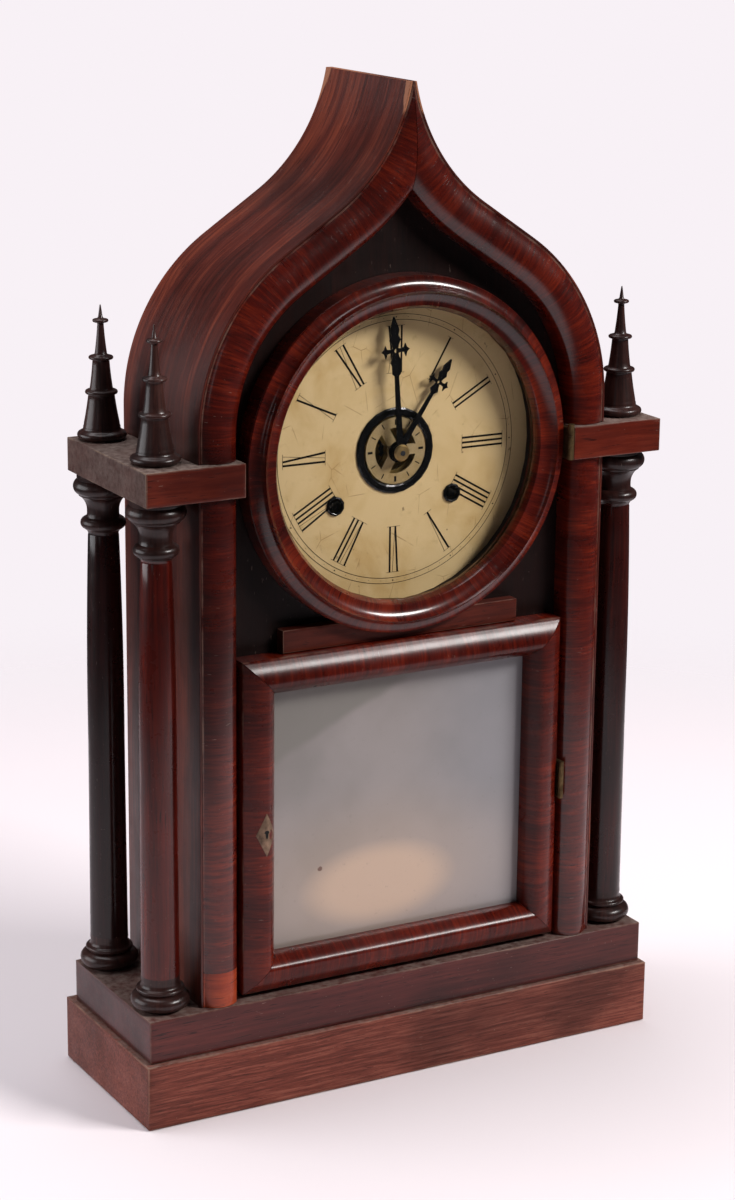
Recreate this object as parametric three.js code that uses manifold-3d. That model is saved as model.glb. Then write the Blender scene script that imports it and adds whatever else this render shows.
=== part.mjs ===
// Ogee shelf clock: a spring-driven pendulum clock in a veneered case with an
// ogee arch, four free columns, a round glazed door over the dial and a square
// glazed door below it. Millimetres, +Z up, front at -Y, origin under the base.
//
// Every solid is a manifold-3d body made from a three.js geometry. The arch is
// one outline (ogeeOutline) that the case sides, the mouldings, the fascia and
// the backboard all take their shape from, each by its own inset.

import * as THREE from 'three';
import { mergeVertices } from 'three/addons/utils/BufferGeometryUtils.js';
import Module from 'manifold-3d';

const wasm = await Module();
wasm.setup();

// ---------------------------------------------------------------- sizes, mm

const SEAT = 0.3; // gap between two faces that rest on each other
const RUN = 0.06; // radial clearance of a turning fit

// Case width, and the ogee outline drawn on it: upright, convex shoulder,
// straight flank, hollow neck
const CASE_HALF = 132;
const SHOULDER_R = 0.8788 * CASE_HALF;
const SHOULDER_TURN = 56.2; // degrees
const FLANK = 0.3068 * CASE_HALF;
const NECK_R = 0.7955 * CASE_HALF;
const RIDGE_HALF = 2; // half of the flat left at the apex
const WALL = 9;
const VENEER = 1.2; // lip of the side veneer beside the moulding
const VENEER_FRONT = -49.1;
const WALL_FRONT = VENEER_FRONT + 7.1;
const CASE_BACK = 49.5;
const BACKBOARD = 6;
const RABBET = 5; // how far the backboard laps over the wall
const MITRE = SEAT / 2;

// Two-step plinth
const COLUMN_BAY = 34.8; // width of the step that carries the columns
const STEP_HALF = CASE_HALF + COLUMN_BAY;
const STEP_FRONT = VENEER_FRONT - 5.8;
const STEP_BACK = CASE_BACK + 1.7;
const PLINTH_LEDGE = 3.2;
const PLINTH_HALF = STEP_HALF + PLINTH_LEDGE;
const PLINTH_DEPTH = 117;
const PLINTH_TOP = 38.6;
const PLINTH_CHAMFER = 2.6;
const STEP_HEIGHT = 25.5;
const STEP_TOP = PLINTH_TOP + SEAT + STEP_HEIGHT;
const CASE_FOOT = STEP_TOP + SEAT;

// Capital blocks, level with the dial
const BLOCK_TOP = 383.7;
const BLOCK_THICK = 19.4;
const BLOCK_BASE = BLOCK_TOP - BLOCK_THICK;
const BLOCK_FRONT = STEP_FRONT - 2;
const BLOCK_OUT = STEP_HALF + 0.2;
const BLOCK_BACK = CASE_BACK + 0.4;
const SPRING_RISE = 14.7;
const SPRING_Z = BLOCK_TOP + SPRING_RISE; // where the shoulder leaves the upright
const DIAL_DROP = 7.7;
const DIAL_Z = BLOCK_TOP - DIAL_DROP;

// Front mouldings
const MOULD_WIDTH = 23.5;
const MOULD_APEX_WIDTH = 28;
const MOULD_EDGE_Y = VENEER_FRONT + 2.1; // front face at both edges
const MOULD_CROWN = 7; // how far its crown stands in front of them
const MOULD_BACK = -36.8;
const MOULD_LEDGE = WALL_FRONT - SEAT; // back face where it laps the wall

// Columns and finials
const COLUMN_INSET = 15.6;
const COLUMN_X = STEP_HALF - COLUMN_INSET;
const COLUMN_FRONT_Y = STEP_FRONT + 20;
const COLUMN_REAR_Y = STEP_BACK - 14.7;
const SPIRE = 76.8;
const FINIAL_TIP = BLOCK_TOP + SPIRE;
const DOWEL_R = 3;
const DOWEL_LENGTH = 9;

// Round door
const DOOR_CLEARANCE = 3; // side gap between the lower door and the moulding
const BEZEL_CLEARANCE = 5.5;
const BEZEL_R = CASE_HALF - MOULD_WIDTH - BEZEL_CLEARANCE;
const BEZEL_WIDTH = 19;
const BEZEL_IN_R = BEZEL_R - BEZEL_WIDTH;
const BEZEL_FALL = 7; // from its crown to the glass side
const GLASS_THICK = 2.2;
const GLASS_LAP = 4;
const DIAL_GLASS_R = BEZEL_IN_R + GLASS_LAP;
const BLOCK_IN = BEZEL_R + 3.8;

// Fascia, dial and the hands' depths
const FASCIA_FRONT = MOULD_BACK + SEAT;
const FASCIA_THICK = 3.5;
const FASCIA_EYE_R = BEZEL_R - 14;
const DIAL_R = FASCIA_EYE_R + 7;
const DIAL_THICK = 1;
const DIAL_FRONT = FASCIA_FRONT + FASCIA_THICK + SEAT;
const DIAL_HOLE_R = 20.4;
const DIAL_RIM_R = 25.1;
const DIAL_RIM_THICK = 0.9;
const KEY_X = 38.3; // winding arbors, either side of the centre
const KEY_DROP = 28.9;
const KEY_Z = DIAL_Z - KEY_DROP;
const KEY_HOLE_R = 4.3;
const COLLET_R = 5.7;
const ALARM_Y = DIAL_FRONT - 1.3;
const HOUR_HAND_Y = DIAL_FRONT - 5;
const MINUTE_HAND_Y = HOUR_HAND_Y - 2.5;
const DIAL_GLASS_FRONT = MINUTE_HAND_Y - 7.4;
const BEZEL_BACK = FASCIA_FRONT - 1;
const BEZEL_CROWN = DIAL_GLASS_FRONT - 9.9;

// Short rail between the doors
const RAIL_HALF = 77.5;
const RAIL_LAP = 8.4; // height of the bezel that dips into it
const RAIL_TOP = DIAL_Z - BEZEL_R + RAIL_LAP;
const RAIL_HEIGHT = 13.4;
const RAIL_BASE = RAIL_TOP - RAIL_HEIGHT;
const RAIL_FRONT = MOULD_BACK - 7.7;

// Lower door
const DOOR_HALF = CASE_HALF - MOULD_WIDTH - DOOR_CLEARANCE;
const DOOR_BASE = STEP_TOP + 3.1;
const DOOR_TOP = RAIL_BASE - 0.5;
const DOOR_FRAME = 21;
const DOOR_BACK = FASCIA_FRONT - SEAT;
const DOOR_EDGE = 12.7; // thickness at its outer edge
const DOOR_EDGE_Y = DOOR_BACK - DOOR_EDGE;
const DOOR_SWELL = 6; // its crown in front of that edge
const DOOR_CROWN_Y = DOOR_EDGE_Y - DOOR_SWELL;
const DOOR_REBATE = 4.5;
const DOOR_GLASS_FRONT = DOOR_BACK - 4.5;
const FASCIA_OPEN_HALF = DOOR_HALF - DOOR_FRAME - 0.5;
const FASCIA_LAP = 12.5;
const FASCIA_OPEN_BASE = DOOR_BASE + FASCIA_LAP;
const FASCIA_OPEN_TOP = DOOR_TOP - FASCIA_LAP;

// Hinges and lock
const LEAF = 1;
const LEAF_BACK = MOULD_BACK - 3.2;
const ROUND_HINGE_X = BEZEL_R + 1.55;
const ROUND_HINGE_Y = BLOCK_FRONT + 0.6;
const ROUND_HINGE_BASE = BLOCK_BASE + 0.5;
const ROUND_HINGE_HEIGHT = 21;
const DOOR_HINGE_X = DOOR_HALF + 1.5;
const DOOR_HINGE_Y = DOOR_EDGE_Y - 2.9;
const DOOR_HINGE_HEIGHT = 23;
const DOOR_HINGE_BASE = (DOOR_BASE + DOOR_TOP) / 2 - 12.5;
const LOCK_Z = (DOOR_BASE + DOOR_TOP) / 2 - 2;
const LOCK_X = 12.3 - DOOR_HALF;
const BOLT_TRAVEL = 4;

// Movement: plates round the arbors, then the wheels between and before them
const PLATE_HALF = 80;
const PLATE_TOP = DIAL_Z + 48;
const PLATE = 2;
const FRONT_PLATE_Y = DIAL_FRONT + 10.7;
const PLATE_GAP = 38;
const BACK_PLATE_Y = FRONT_PLATE_Y + PLATE_GAP;
const PILLAR_R = 3.5;
const ARBOR_R = 3;
const KEY_SQUARE = 4.4;
const WHEEL_TEETH = 48;
const PINION_PINS = 6;
const GREAT_THICK = 1.6;
const TIME_WHEEL_Y = FRONT_PLATE_Y + 7;
const STRIKE_WHEEL_Y = FRONT_PLATE_Y + 11;
const GREAT_DISTANCE = Math.hypot(KEY_X, KEY_DROP);
const GREAT_R = (GREAT_DISTANCE * WHEEL_TEETH) / (WHEEL_TEETH + PINION_PINS);
const GREAT_ADDENDUM = 1.1;
const SPRING_COIL_R = 28;
const CENTRE_R = 1.5;
const PIPE_R = 2.6;

// Motion work: 8 pins drive 24 teeth, whose 6 pins drive 24 more, so 12 to 1
const MOTION_DISTANCE = 20.5;
const CANNON_PINS = 8;
const MINUTE_TEETH = 24;
const MINUTE_PINS = 6;
const HOUR_TEETH = 24;
const MINUTE_WHEEL_Y = FRONT_PLATE_Y - 3.2;
const HOUR_WHEEL_Y = FRONT_PLATE_Y - 7.2;
const MOTION_THICK = 1.2;

const HAND_THICK = 0.8;
const MINUTE_LENGTH = 78.7;
const HOUR_LENGTH = 61;
const MINUTE_REST = -4; // degrees past twelve, clockwise
const HOUR_REST = 34;
const ALARM_R = 19.5;

// Pendulum, gong and hammer
const PENDULUM_Y = BACK_PLATE_Y + 10;
const PENDULUM_Z = PLATE_TOP + 4;
const BOB_Z = 186;
const BOB_R = 22;
const BOB_THICK = 9;
const ROD_R = 1.1;
const GONG_Z = 113;
const GONG_R = 33;
const GONG_WIRE_R = 1.4;
const GONG_TURNS = 3;
const GONG_Y = PENDULUM_Y + 5;
const HAMMER_X = 13;
const HAMMER_Z = KEY_Z - 40.6; // its arbor passes under both great wheels
const HAMMER_BOW_X = 50; // the arm bows out past the swinging bob
const PLATE_BASE = HAMMER_Z - 4.5;

// ---------------------------------------------------------------- materials

function finish(colour, roughness, metalness) {
  return { colour, roughness, metalness };
}

const ROSEWOOD = finish(0x5a2318, 0.25, 0);
const FIGURED = finish(0x7a2f1c, 0.2, 0);
const EBONISED = finish(0x1d1210, 0.3, 0);
const PINE = finish(0x8c6b46, 0.8, 0);
const BRASS = finish(0xb08d45, 0.35, 0.9);
const STEEL = finish(0x6f7275, 0.4, 0.9);
const IRON = finish(0x232323, 0.6, 0.5);
const DIAL_PAINT = finish(0xd8c8a4, 0.55, 0);
const BLACK = finish(0x0c0d10, 0.25, 0.1);
const GLASS = finish(0xb9c0c6, 0.1, 0);
const BONE = finish(0xb9aa92, 0.5, 0);

// ---------------------------------------------------------------- solids

/** Signed volume of an indexed triangle mesh: negative when it is inside out. */
function signedVolume(positions, triangles) {
  const corner = (i) => new THREE.Vector3().fromArray(positions, 3 * i);
  let volume = 0;
  for (let i = 0; i < triangles.length; i += 3) {
    const [a, b, c] = [corner(triangles[i]), corner(triangles[i + 1]), corner(triangles[i + 2])];
    volume += a.dot(b.cross(c)) / 6;
  }
  return volume;
}

/** A manifold body from any closed three.js geometry, its faces turned outwards. */
function solid(geometry) {
  geometry.deleteAttribute('normal');
  geometry.deleteAttribute('uv');
  const welded = mergeVertices(geometry, 1e-4);
  const positions = Float32Array.from(welded.attributes.position.array);
  const triangles = [];
  const index = welded.index.array;
  for (let i = 0; i < index.length; i += 3) {
    const [a, b, c] = [index[i], index[i + 1], index[i + 2]];
    if (a !== b && b !== c && c !== a) triangles.push(a, b, c);
  }
  if (signedVolume(positions, triangles) < 0) {
    for (let i = 0; i < triangles.length; i += 3) {
      [triangles[i], triangles[i + 1]] = [triangles[i + 1], triangles[i]];
    }
  }
  return new wasm.Manifold(new wasm.Mesh({
    numProp: 3, vertProperties: positions, triVerts: Uint32Array.from(triangles),
  }));
}

const group = new THREE.Group();

/** Adds a body to the clock as a named mesh with a finish. */
function piece(name, body, look) {
  const mesh = body.getMesh();
  const geometry = new THREE.BufferGeometry();
  geometry.setAttribute('position', new THREE.BufferAttribute(mesh.vertProperties, 3));
  geometry.setIndex(new THREE.BufferAttribute(mesh.triVerts, 1));
  geometry.computeVertexNormals();
  const material = new THREE.MeshStandardMaterial({
    color: look.colour, roughness: look.roughness, metalness: look.metalness,
  });
  const node = new THREE.Mesh(geometry, material);
  node.name = name;
  group.add(node);
}

/** A box given by its two corners. */
function box(x0, x1, y0, y1, z0, z1) {
  const geometry = new THREE.BoxGeometry(x1 - x0, y1 - y0, z1 - z0);
  geometry.translate((x0 + x1) / 2, (y0 + y1) / 2, (z0 + z1) / 2);
  return solid(geometry);
}

/** A THREE.Shape from a list of [u, v] points, with optional holes. */
function shapeOf(points, holes = []) {
  const vectors = (list) => list.map(([u, v]) => new THREE.Vector2(u, v));
  const shape = new THREE.Shape(vectors(points));
  for (const hole of holes) shape.holes.push(new THREE.Path(vectors(hole)));
  return shape;
}

/** Points of a circle, or of an arc from one angle to another, in degrees. */
function arc(cu, cv, radius, from = 0, to = 360, steps = 32) {
  const count = Math.abs(to - from) === 360 ? steps : steps + 1;
  return Array.from({ length: count }, (_, i) => {
    const angle = THREE.MathUtils.degToRad(from + ((to - from) * i) / steps);
    return [cu + radius * Math.cos(angle), cv + radius * Math.sin(angle)];
  });
}

/** A flat piece drawn in X and Z and thick in Y, from y0 (front) to y1 (back). */
function slab(points, y0, y1, holes = []) {
  const options = { depth: y1 - y0, bevelEnabled: false };
  const geometry = new THREE.ExtrudeGeometry(shapeOf(points, holes), options);
  return solid(geometry.rotateX(Math.PI / 2).translate(0, y1, 0));
}

/** A flat piece drawn in X and Y and thick in Z. */
function plate(points, z0, z1) {
  const options = { depth: z1 - z0, bevelEnabled: false };
  return solid(new THREE.ExtrudeGeometry(shapeOf(points), options).translate(0, 0, z0));
}

/** A turned piece standing on Z: profile points are [radius, z], axis to axis. */
function turned(profile, steps = 12) {
  const points = profile.map(([r, z]) => new THREE.Vector2(r, z));
  return solid(new THREE.LatheGeometry(points, steps).rotateX(Math.PI / 2));
}

/** A turned piece lying along Y: profile points are [radius, y]. */
function turnedAlongY(profile, x, z, steps = 24) {
  const points = profile.map(([r, y]) => new THREE.Vector2(r, y));
  return solid(new THREE.LatheGeometry(points, steps).translate(x, 0, z));
}

/** Radius for a faceted hole whose flats clear a shaft that turns in it. */
function bore(shaftR, steps = 10) {
  return (shaftR + RUN) / Math.cos(Math.PI / steps);
}

/** A rod along Y. */
function rodY(radius, y0, y1, x, z, steps = 10) {
  return turnedAlongY([[0, y0], [radius, y0], [radius, y1], [0, y1]], x, z, steps);
}

/** A rod standing on Z. */
function rodZ(radius, z0, z1, x, y, steps = 10) {
  return turned([[0, z0], [radius, z0], [radius, z1], [0, z1]], steps).translate(x, y, 0);
}

/** The same body on the other side of the clock. */
function mirrored(body) {
  return body.mirror([1, 0, 0]);
}

/** A closed body through equal rings of points, capped at both ends. */
function loft(rings) {
  const size = rings[0].length;
  const index = [];
  for (let r = 0; r + 1 < rings.length; r += 1) {
    for (let i = 0; i < size; i += 1) {
      const [a, b] = [r * size + i, r * size + ((i + 1) % size)];
      index.push(a, b, a + size, b, b + size, a + size);
    }
  }
  for (const [r, flip] of [[0, true], [rings.length - 1, false]]) {
    const normal = ringNormal(rings[r]);
    const flat = rings[r].map((p) => flatten(p, normal));
    for (const [a, b, c] of THREE.ShapeUtils.triangulateShape(flat, [])) {
      const [i, j, k] = [a + r * size, b + r * size, c + r * size];
      if (flip) index.push(i, k, j);
      else index.push(i, j, k);
    }
  }
  const geometry = new THREE.BufferGeometry();
  const positions = rings.flat().flatMap((p) => [p.x, p.y, p.z]);
  geometry.setAttribute('position', new THREE.Float32BufferAttribute(positions, 3));
  geometry.setIndex(index);
  return solid(geometry);
}

/** Newell normal of a closed ring of points. */
function ringNormal(ring) {
  const normal = new THREE.Vector3();
  ring.forEach((p, i) => {
    const q = ring[(i + 1) % ring.length];
    normal.x += (p.y - q.y) * (p.z + q.z);
    normal.y += (p.z - q.z) * (p.x + q.x);
    normal.z += (p.x - q.x) * (p.y + q.y);
  });
  return normal.normalize();
}

/** Coordinates of a point in the plane across a normal, right-handed about it. */
function flatten(point, normal) {
  const guide = Math.abs(normal.z) < 0.9 ? new THREE.Vector3(0, 0, 1) : new THREE.Vector3(1, 0, 0);
  const u = new THREE.Vector3().crossVectors(guide, normal).normalize();
  const v = new THREE.Vector3().crossVectors(normal, u);
  return new THREE.Vector2(point.dot(u), point.dot(v));
}

/** Round wire through points, which are THREE.Vector3. */
function wire(points, radius, sides = 8, steps = points.length * 4) {
  const curve = new THREE.CatmullRomCurve3(points, false, 'centripetal');
  const section = shapeOf(arc(0, 0, radius, 0, 360, sides));
  return solid(new THREE.ExtrudeGeometry(section, { steps, extrudePath: curve, bevelEnabled: false }));
}

// ---------------------------------------------------------------- ogee outline

/**
 * Right half of the case outline from a height up to the apex: points with the
 * outward normal and t, which runs from 0 at the shoulder to 1 at the apex.
 */
function ogeeOutline(fromZ) {
  const turn = THREE.MathUtils.degToRad(SHOULDER_TURN);
  const shoulderX = CASE_HALF - SHOULDER_R;
  const points = [];
  const add = (x, z, angle) => points.push({ x, z, nx: Math.cos(angle), nz: Math.sin(angle) });
  const onArc = (cx, cz, r, angle) => [cx + r * Math.cos(angle), cz + r * Math.sin(angle)];
  add(CASE_HALF, fromZ, 0);
  const shoulderSteps = 9;
  for (let i = 0; i <= shoulderSteps; i += 1) {
    const angle = (turn * i) / shoulderSteps;
    add(...onArc(shoulderX, SPRING_Z, SHOULDER_R, angle), angle);
  }
  const last = points[points.length - 1];
  const flankX = last.x - FLANK * Math.sin(turn);
  const flankZ = last.z + FLANK * Math.cos(turn);
  const neckX = flankX + NECK_R * Math.cos(turn);
  const neckZ = flankZ + NECK_R * Math.sin(turn);
  const end = Math.acos((neckX - RIDGE_HALF) / NECK_R);
  const neckSteps = 7;
  for (let i = 0; i <= neckSteps; i += 1) {
    const angle = turn + ((end - turn) * i) / neckSteps;
    add(...onArc(neckX, neckZ, -NECK_R, angle), angle);
  }
  const top = points[points.length - 1];
  const run = 4; // past the apex, trimmed flat afterwards
  add(top.x - run * Math.sin(end), top.z + run * Math.cos(end), end);
  points.forEach((p, i) => { p.t = THREE.MathUtils.clamp((i - 1) / (points.length - 2), 0, 1); });
  return points;
}

const APEX_Z = (() => {
  const outline = ogeeOutline(CASE_FOOT);
  return outline[outline.length - 2].z;
})();

/** Sweeps a section, a function of t giving [inset, y] points, up the outline. */
function sweepUpOutline(section, fromZ) {
  const rings = ogeeOutline(fromZ).map((p) => section(p.t).map(([inset, y]) => (
    new THREE.Vector3(p.x - inset * p.nx, y, p.z - inset * p.nz))));
  const keep = box(MITRE, CASE_HALF + 1, -PLINTH_DEPTH, PLINTH_DEPTH, fromZ, APEX_Z);
  return loft(rings).intersect(keep);
}

/** The whole outline at an inset, as [x, z] points from right foot to left foot. */
function outlineAt(inset, footZ) {
  const right = [];
  let before = null;
  for (const p of ogeeOutline(footZ)) {
    const here = [p.x - inset * p.nx, p.z - inset * p.nz];
    if (here[0] <= 0) {
      const share = before[0] / (before[0] - here[0]);
      right.push([0, before[1] + share * (here[1] - before[1])]);
      break;
    }
    right.push(here);
    before = here;
  }
  const left = right.filter(([x]) => x > 0).reverse().map(([x, z]) => [-x, z]);
  return [...right, ...left];
}

// ---------------------------------------------------------------- case

function plinths() {
  const half = PLINTH_DEPTH / 2;
  const c = PLINTH_CHAMFER;
  const block = (dx, dy, z) => [
    new THREE.Vector3(-dx, -dy, z), new THREE.Vector3(dx, -dy, z),
    new THREE.Vector3(dx, dy, z), new THREE.Vector3(-dx, dy, z)];
  const lower = loft([
    block(PLINTH_HALF, half, 0),
    block(PLINTH_HALF, half, PLINTH_TOP - c),
    block(PLINTH_HALF - c, half - c, PLINTH_TOP)]);
  piece('lower_plinth', lower, ROSEWOOD);
  const upper = box(-STEP_HALF, STEP_HALF, STEP_FRONT, STEP_BACK, PLINTH_TOP + SEAT, STEP_TOP);
  piece('upper_plinth', upper, ROSEWOOD);
}

function caseSides() {
  const rabbetDepth = BACKBOARD + SEAT;
  const section = () => [
    [0, VENEER_FRONT], [VENEER, VENEER_FRONT], [VENEER, WALL_FRONT], [WALL, WALL_FRONT],
    [WALL, CASE_BACK - rabbetDepth], [WALL - RABBET, CASE_BACK - rabbetDepth],
    [WALL - RABBET, CASE_BACK], [0, CASE_BACK]];
  const right = sweepUpOutline(section, CASE_FOOT);
  piece('right_case_side', right, ROSEWOOD);
  piece('left_case_side', mirrored(right), ROSEWOOD);
  const board = outlineAt(WALL - RABBET + SEAT, CASE_FOOT);
  piece('backboard', slab(board, CASE_BACK - BACKBOARD, CASE_BACK), PINE);
}

/** Section of the front moulding, [inset, y], for a given width. */
function mouldingSection(width) {
  const crownPoints = 8;
  const outer = VENEER + SEAT;
  const front = Array.from({ length: crownPoints }, (_, i) => {
    const t = i / (crownPoints - 1);
    const rise = MOULD_CROWN * Math.sin(Math.PI * t) ** 0.55;
    const edge = THREE.MathUtils.lerp(VENEER_FRONT, MOULD_EDGE_Y, Math.min(1, t * 4));
    return [outer + (width - outer) * t, t === 0 ? VENEER_FRONT : Math.min(edge, MOULD_EDGE_Y - rise)];
  });
  return [
    [outer, MOULD_LEDGE], ...front, [width, MOULD_BACK],
    [WALL + SEAT, MOULD_BACK], [WALL + SEAT, MOULD_LEDGE]];
}

function mouldings() {
  const width = (t) => THREE.MathUtils.lerp(MOULD_WIDTH, MOULD_APEX_WIDTH, t);
  const arch = sweepUpOutline((t) => mouldingSection(width(t)), BLOCK_TOP + SEAT);
  piece('right_ogee_moulding', arch, FIGURED);
  piece('left_ogee_moulding', mirrored(arch), FIGURED);
  const across = (z) => mouldingSection(MOULD_WIDTH).map(([inset, y]) => (
    new THREE.Vector3(CASE_HALF - inset, y, z)));
  const stile = loft([across(CASE_FOOT), across(BLOCK_BASE - SEAT)]);
  piece('right_stile_moulding', stile, FIGURED);
  const keep = SEAT + LOCK.boltHeight / 2;
  const slot = box(-DOOR_HALF - BOLT_TRAVEL - 4, -DOOR_HALF, LOCK.boltFront - SEAT, LOCK.boltBack + SEAT,
    LOCK_Z - keep, LOCK_Z + keep);
  piece('left_stile_moulding', mirrored(stile).subtract(slot), FIGURED);
}

function capitalBlocks() {
  const shelf = CASE_HALF + SEAT;
  const lap = CASE_HALF - WALL - SEAT; // inside of the wall front
  const front = VENEER_FRONT - SEAT;
  const outline = [
    [BLOCK_IN, BLOCK_FRONT], [BLOCK_OUT, BLOCK_FRONT], [BLOCK_OUT, BLOCK_BACK], [shelf, BLOCK_BACK],
    [shelf, front], [lap, front], [lap, MOULD_BACK], [BLOCK_IN, MOULD_BACK]];
  let block = plate(outline, BLOCK_BASE, BLOCK_TOP);
  for (const y of [COLUMN_FRONT_Y, COLUMN_REAR_Y]) {
    const hole = rodZ(bore(DOWEL_R), BLOCK_TOP - DOWEL_LENGTH - SEAT, BLOCK_TOP + 1, COLUMN_X, y);
    block = block.subtract(hole);
  }
  piece('right_capital_block', block, EBONISED);
  piece('left_capital_block', mirrored(block), EBONISED);
}

/** Turned column: foot, base torus, tapering shaft, necking ring, bell and capital. */
function column() {
  const foot = CASE_FOOT;
  const top = BLOCK_BASE - SEAT;
  const profile = [
    [0, foot], [12.6, foot], [16.4, foot + 2], [17.6, foot + 5], [16.4, foot + 8], [13, foot + 10],
    [14.3, foot + 11.5], [12.6, foot + 13.5], [11.4, foot + 19],
    [8.8, top - 35], [9.6, top - 31.5], [12.4, top - 30], [12.8, top - 28], [12.2, top - 25.6],
    [9.3, top - 22], [10.6, top - 16], [13.6, top - 12.5],
    [16.2, top - 11], [17, top - 7.5], [16.2, top - 3.6], [14.8, top], [0, top]];
  return turned(profile);
}

/** Turned finial: socket, three cones between thin rings and a spike, on a dowel. */
function finial() {
  const seat = BLOCK_TOP + SEAT;
  const foot = BLOCK_TOP - DOWEL_LENGTH;
  const profile = [
    [0, foot], [DOWEL_R, foot], [DOWEL_R, seat], [12.4, seat], [14, seat + 2.6], [12.8, seat + 4.8],
    [10.6, seat + 7.5], [10, seat + 10], [7.6, seat + 25], [9.5, seat + 26.5], [8.6, seat + 28.6],
    [6.6, seat + 29.4], [4.8, seat + 45], [7.2, seat + 46.6], [5.6, seat + 48], [3.5, seat + 48.8],
    [1.8, seat + 66], [4.7, seat + 67.6], [3, seat + 69], [1.3, seat + 69.6], [0.4, FINIAL_TIP],
    [0, FINIAL_TIP]];
  return turned(profile, 8);
}

function columnsAndFinials() {
  const places = [
    ['front_left', -COLUMN_X, COLUMN_FRONT_Y], ['front_right', COLUMN_X, COLUMN_FRONT_Y],
    ['rear_left', -COLUMN_X, COLUMN_REAR_Y], ['rear_right', COLUMN_X, COLUMN_REAR_Y]];
  for (const [name, x, y] of places) {
    piece(`${name}_column`, column().translate(x, y, 0), FIGURED);
    piece(`${name}_finial`, finial().translate(x, y, 0), EBONISED);
  }
}

function fasciaAndRail() {
  const outline = outlineAt(WALL + SEAT, CASE_FOOT);
  const eye = arc(0, DIAL_Z, FASCIA_EYE_R, 0, 360, 40);
  const h = FASCIA_OPEN_HALF;
  const window = [
    [-h, FASCIA_OPEN_BASE], [h, FASCIA_OPEN_BASE], [h, FASCIA_OPEN_TOP], [-h, FASCIA_OPEN_TOP]];
  const board = slab(outline, FASCIA_FRONT, FASCIA_FRONT + FASCIA_THICK, [eye, window]);
  piece('fascia_board', board, EBONISED);
  const rail = box(-RAIL_HALF, RAIL_HALF, RAIL_FRONT, FASCIA_FRONT - SEAT, RAIL_BASE, RAIL_TOP);
  const scoop = rodY(BEZEL_R + SEAT, RAIL_FRONT - 1, FASCIA_FRONT, 0, DIAL_Z, 96);
  piece('cross_rail', rail.subtract(scoop), ROSEWOOD);
}

// ---------------------------------------------------------------- dial

function dial() {
  const back = DIAL_FRONT + DIAL_THICK;
  const holes = [arc(0, DIAL_Z, DIAL_HOLE_R, 0, 360, 24)];
  for (const side of [-1, 1]) holes.push(arc(side * KEY_X, KEY_Z, bore(KEY_HOLE_R + 0.4), 0, 360, 10));
  const face = slab(arc(0, DIAL_Z, DIAL_R, 0, 360, 40), DIAL_FRONT, back, holes);
  piece('dial_plate', face, DIAL_PAINT);
  const front = DIAL_FRONT - SEAT;
  const rim = [
    [DIAL_HOLE_R, front], [DIAL_HOLE_R, front - 0.4], [DIAL_HOLE_R + 1, front - DIAL_RIM_THICK],
    [DIAL_RIM_R - 1, front - DIAL_RIM_THICK], [DIAL_RIM_R, front - 0.4], [DIAL_RIM_R, front],
    [DIAL_HOLE_R, front]];
  piece('dial_rim', turnedAlongY(rim, 0, DIAL_Z, 24), BLACK);
  const collet = [
    [KEY_HOLE_R, back], [KEY_HOLE_R, front - 0.9], [KEY_HOLE_R + 0.5, front - 1.2],
    [COLLET_R, front - 0.6], [COLLET_R, front], [KEY_HOLE_R + 0.4, front], [KEY_HOLE_R + 0.4, back],
    [KEY_HOLE_R, back]];
  piece('left_key_collet', turnedAlongY(collet, -KEY_X, KEY_Z, 10), BLACK);
  piece('right_key_collet', turnedAlongY(collet, KEY_X, KEY_Z, 10), BLACK);
}

// ---------------------------------------------------------------- hinges

/**
 * A butt hinge on Z: the fixed leaf carries the end knuckles and the moving one
 * the middle knuckle and the pin. Leaves run back from the knuckle to LEAF_BACK.
 */
function buttHinge({ x, y, base, height, knuckleR, leafGap, leafTop }) {
  const third = height / 3;
  const pinR = knuckleR * 0.45;
  const top = leafTop ?? base + height;
  const pinHole = rodZ(bore(pinR), base - 1, base + height + 1, x, y);
  const knuckle = (from, to) => rodZ(knuckleR, from, to, x, y);
  const fixedLeaf = box(x + leafGap, x + leafGap + LEAF, y, LEAF_BACK, base, top);
  const middle = box(x - knuckleR - RUN, x + knuckleR + LEAF + 2, y - knuckleR - 1, y + knuckleR + SEAT,
    base + third - RUN, base + 2 * third + RUN);
  const fixed = knuckle(base, base + height).add(fixedLeaf).subtract(middle).subtract(pinHole);
  const movingLeaf = box(x - leafGap - LEAF, x - leafGap, y, LEAF_BACK, base, top);
  const ends = [[base - 1, base + third + RUN], [base + 2 * third - RUN, base + height + 1]].map(
    ([from, to]) => box(x - knuckleR - LEAF - 2, x + knuckleR, y - knuckleR - 1, y + knuckleR + SEAT,
      from, to));
  let moving = movingLeaf.add(knuckle(base + third + RUN, base + 2 * third - RUN));
  for (const end of ends) moving = moving.subtract(end);
  return { fixed, moving: moving.add(rodZ(pinR, base, base + height, x, y)) };
}

// ---------------------------------------------------------------- round door

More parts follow.
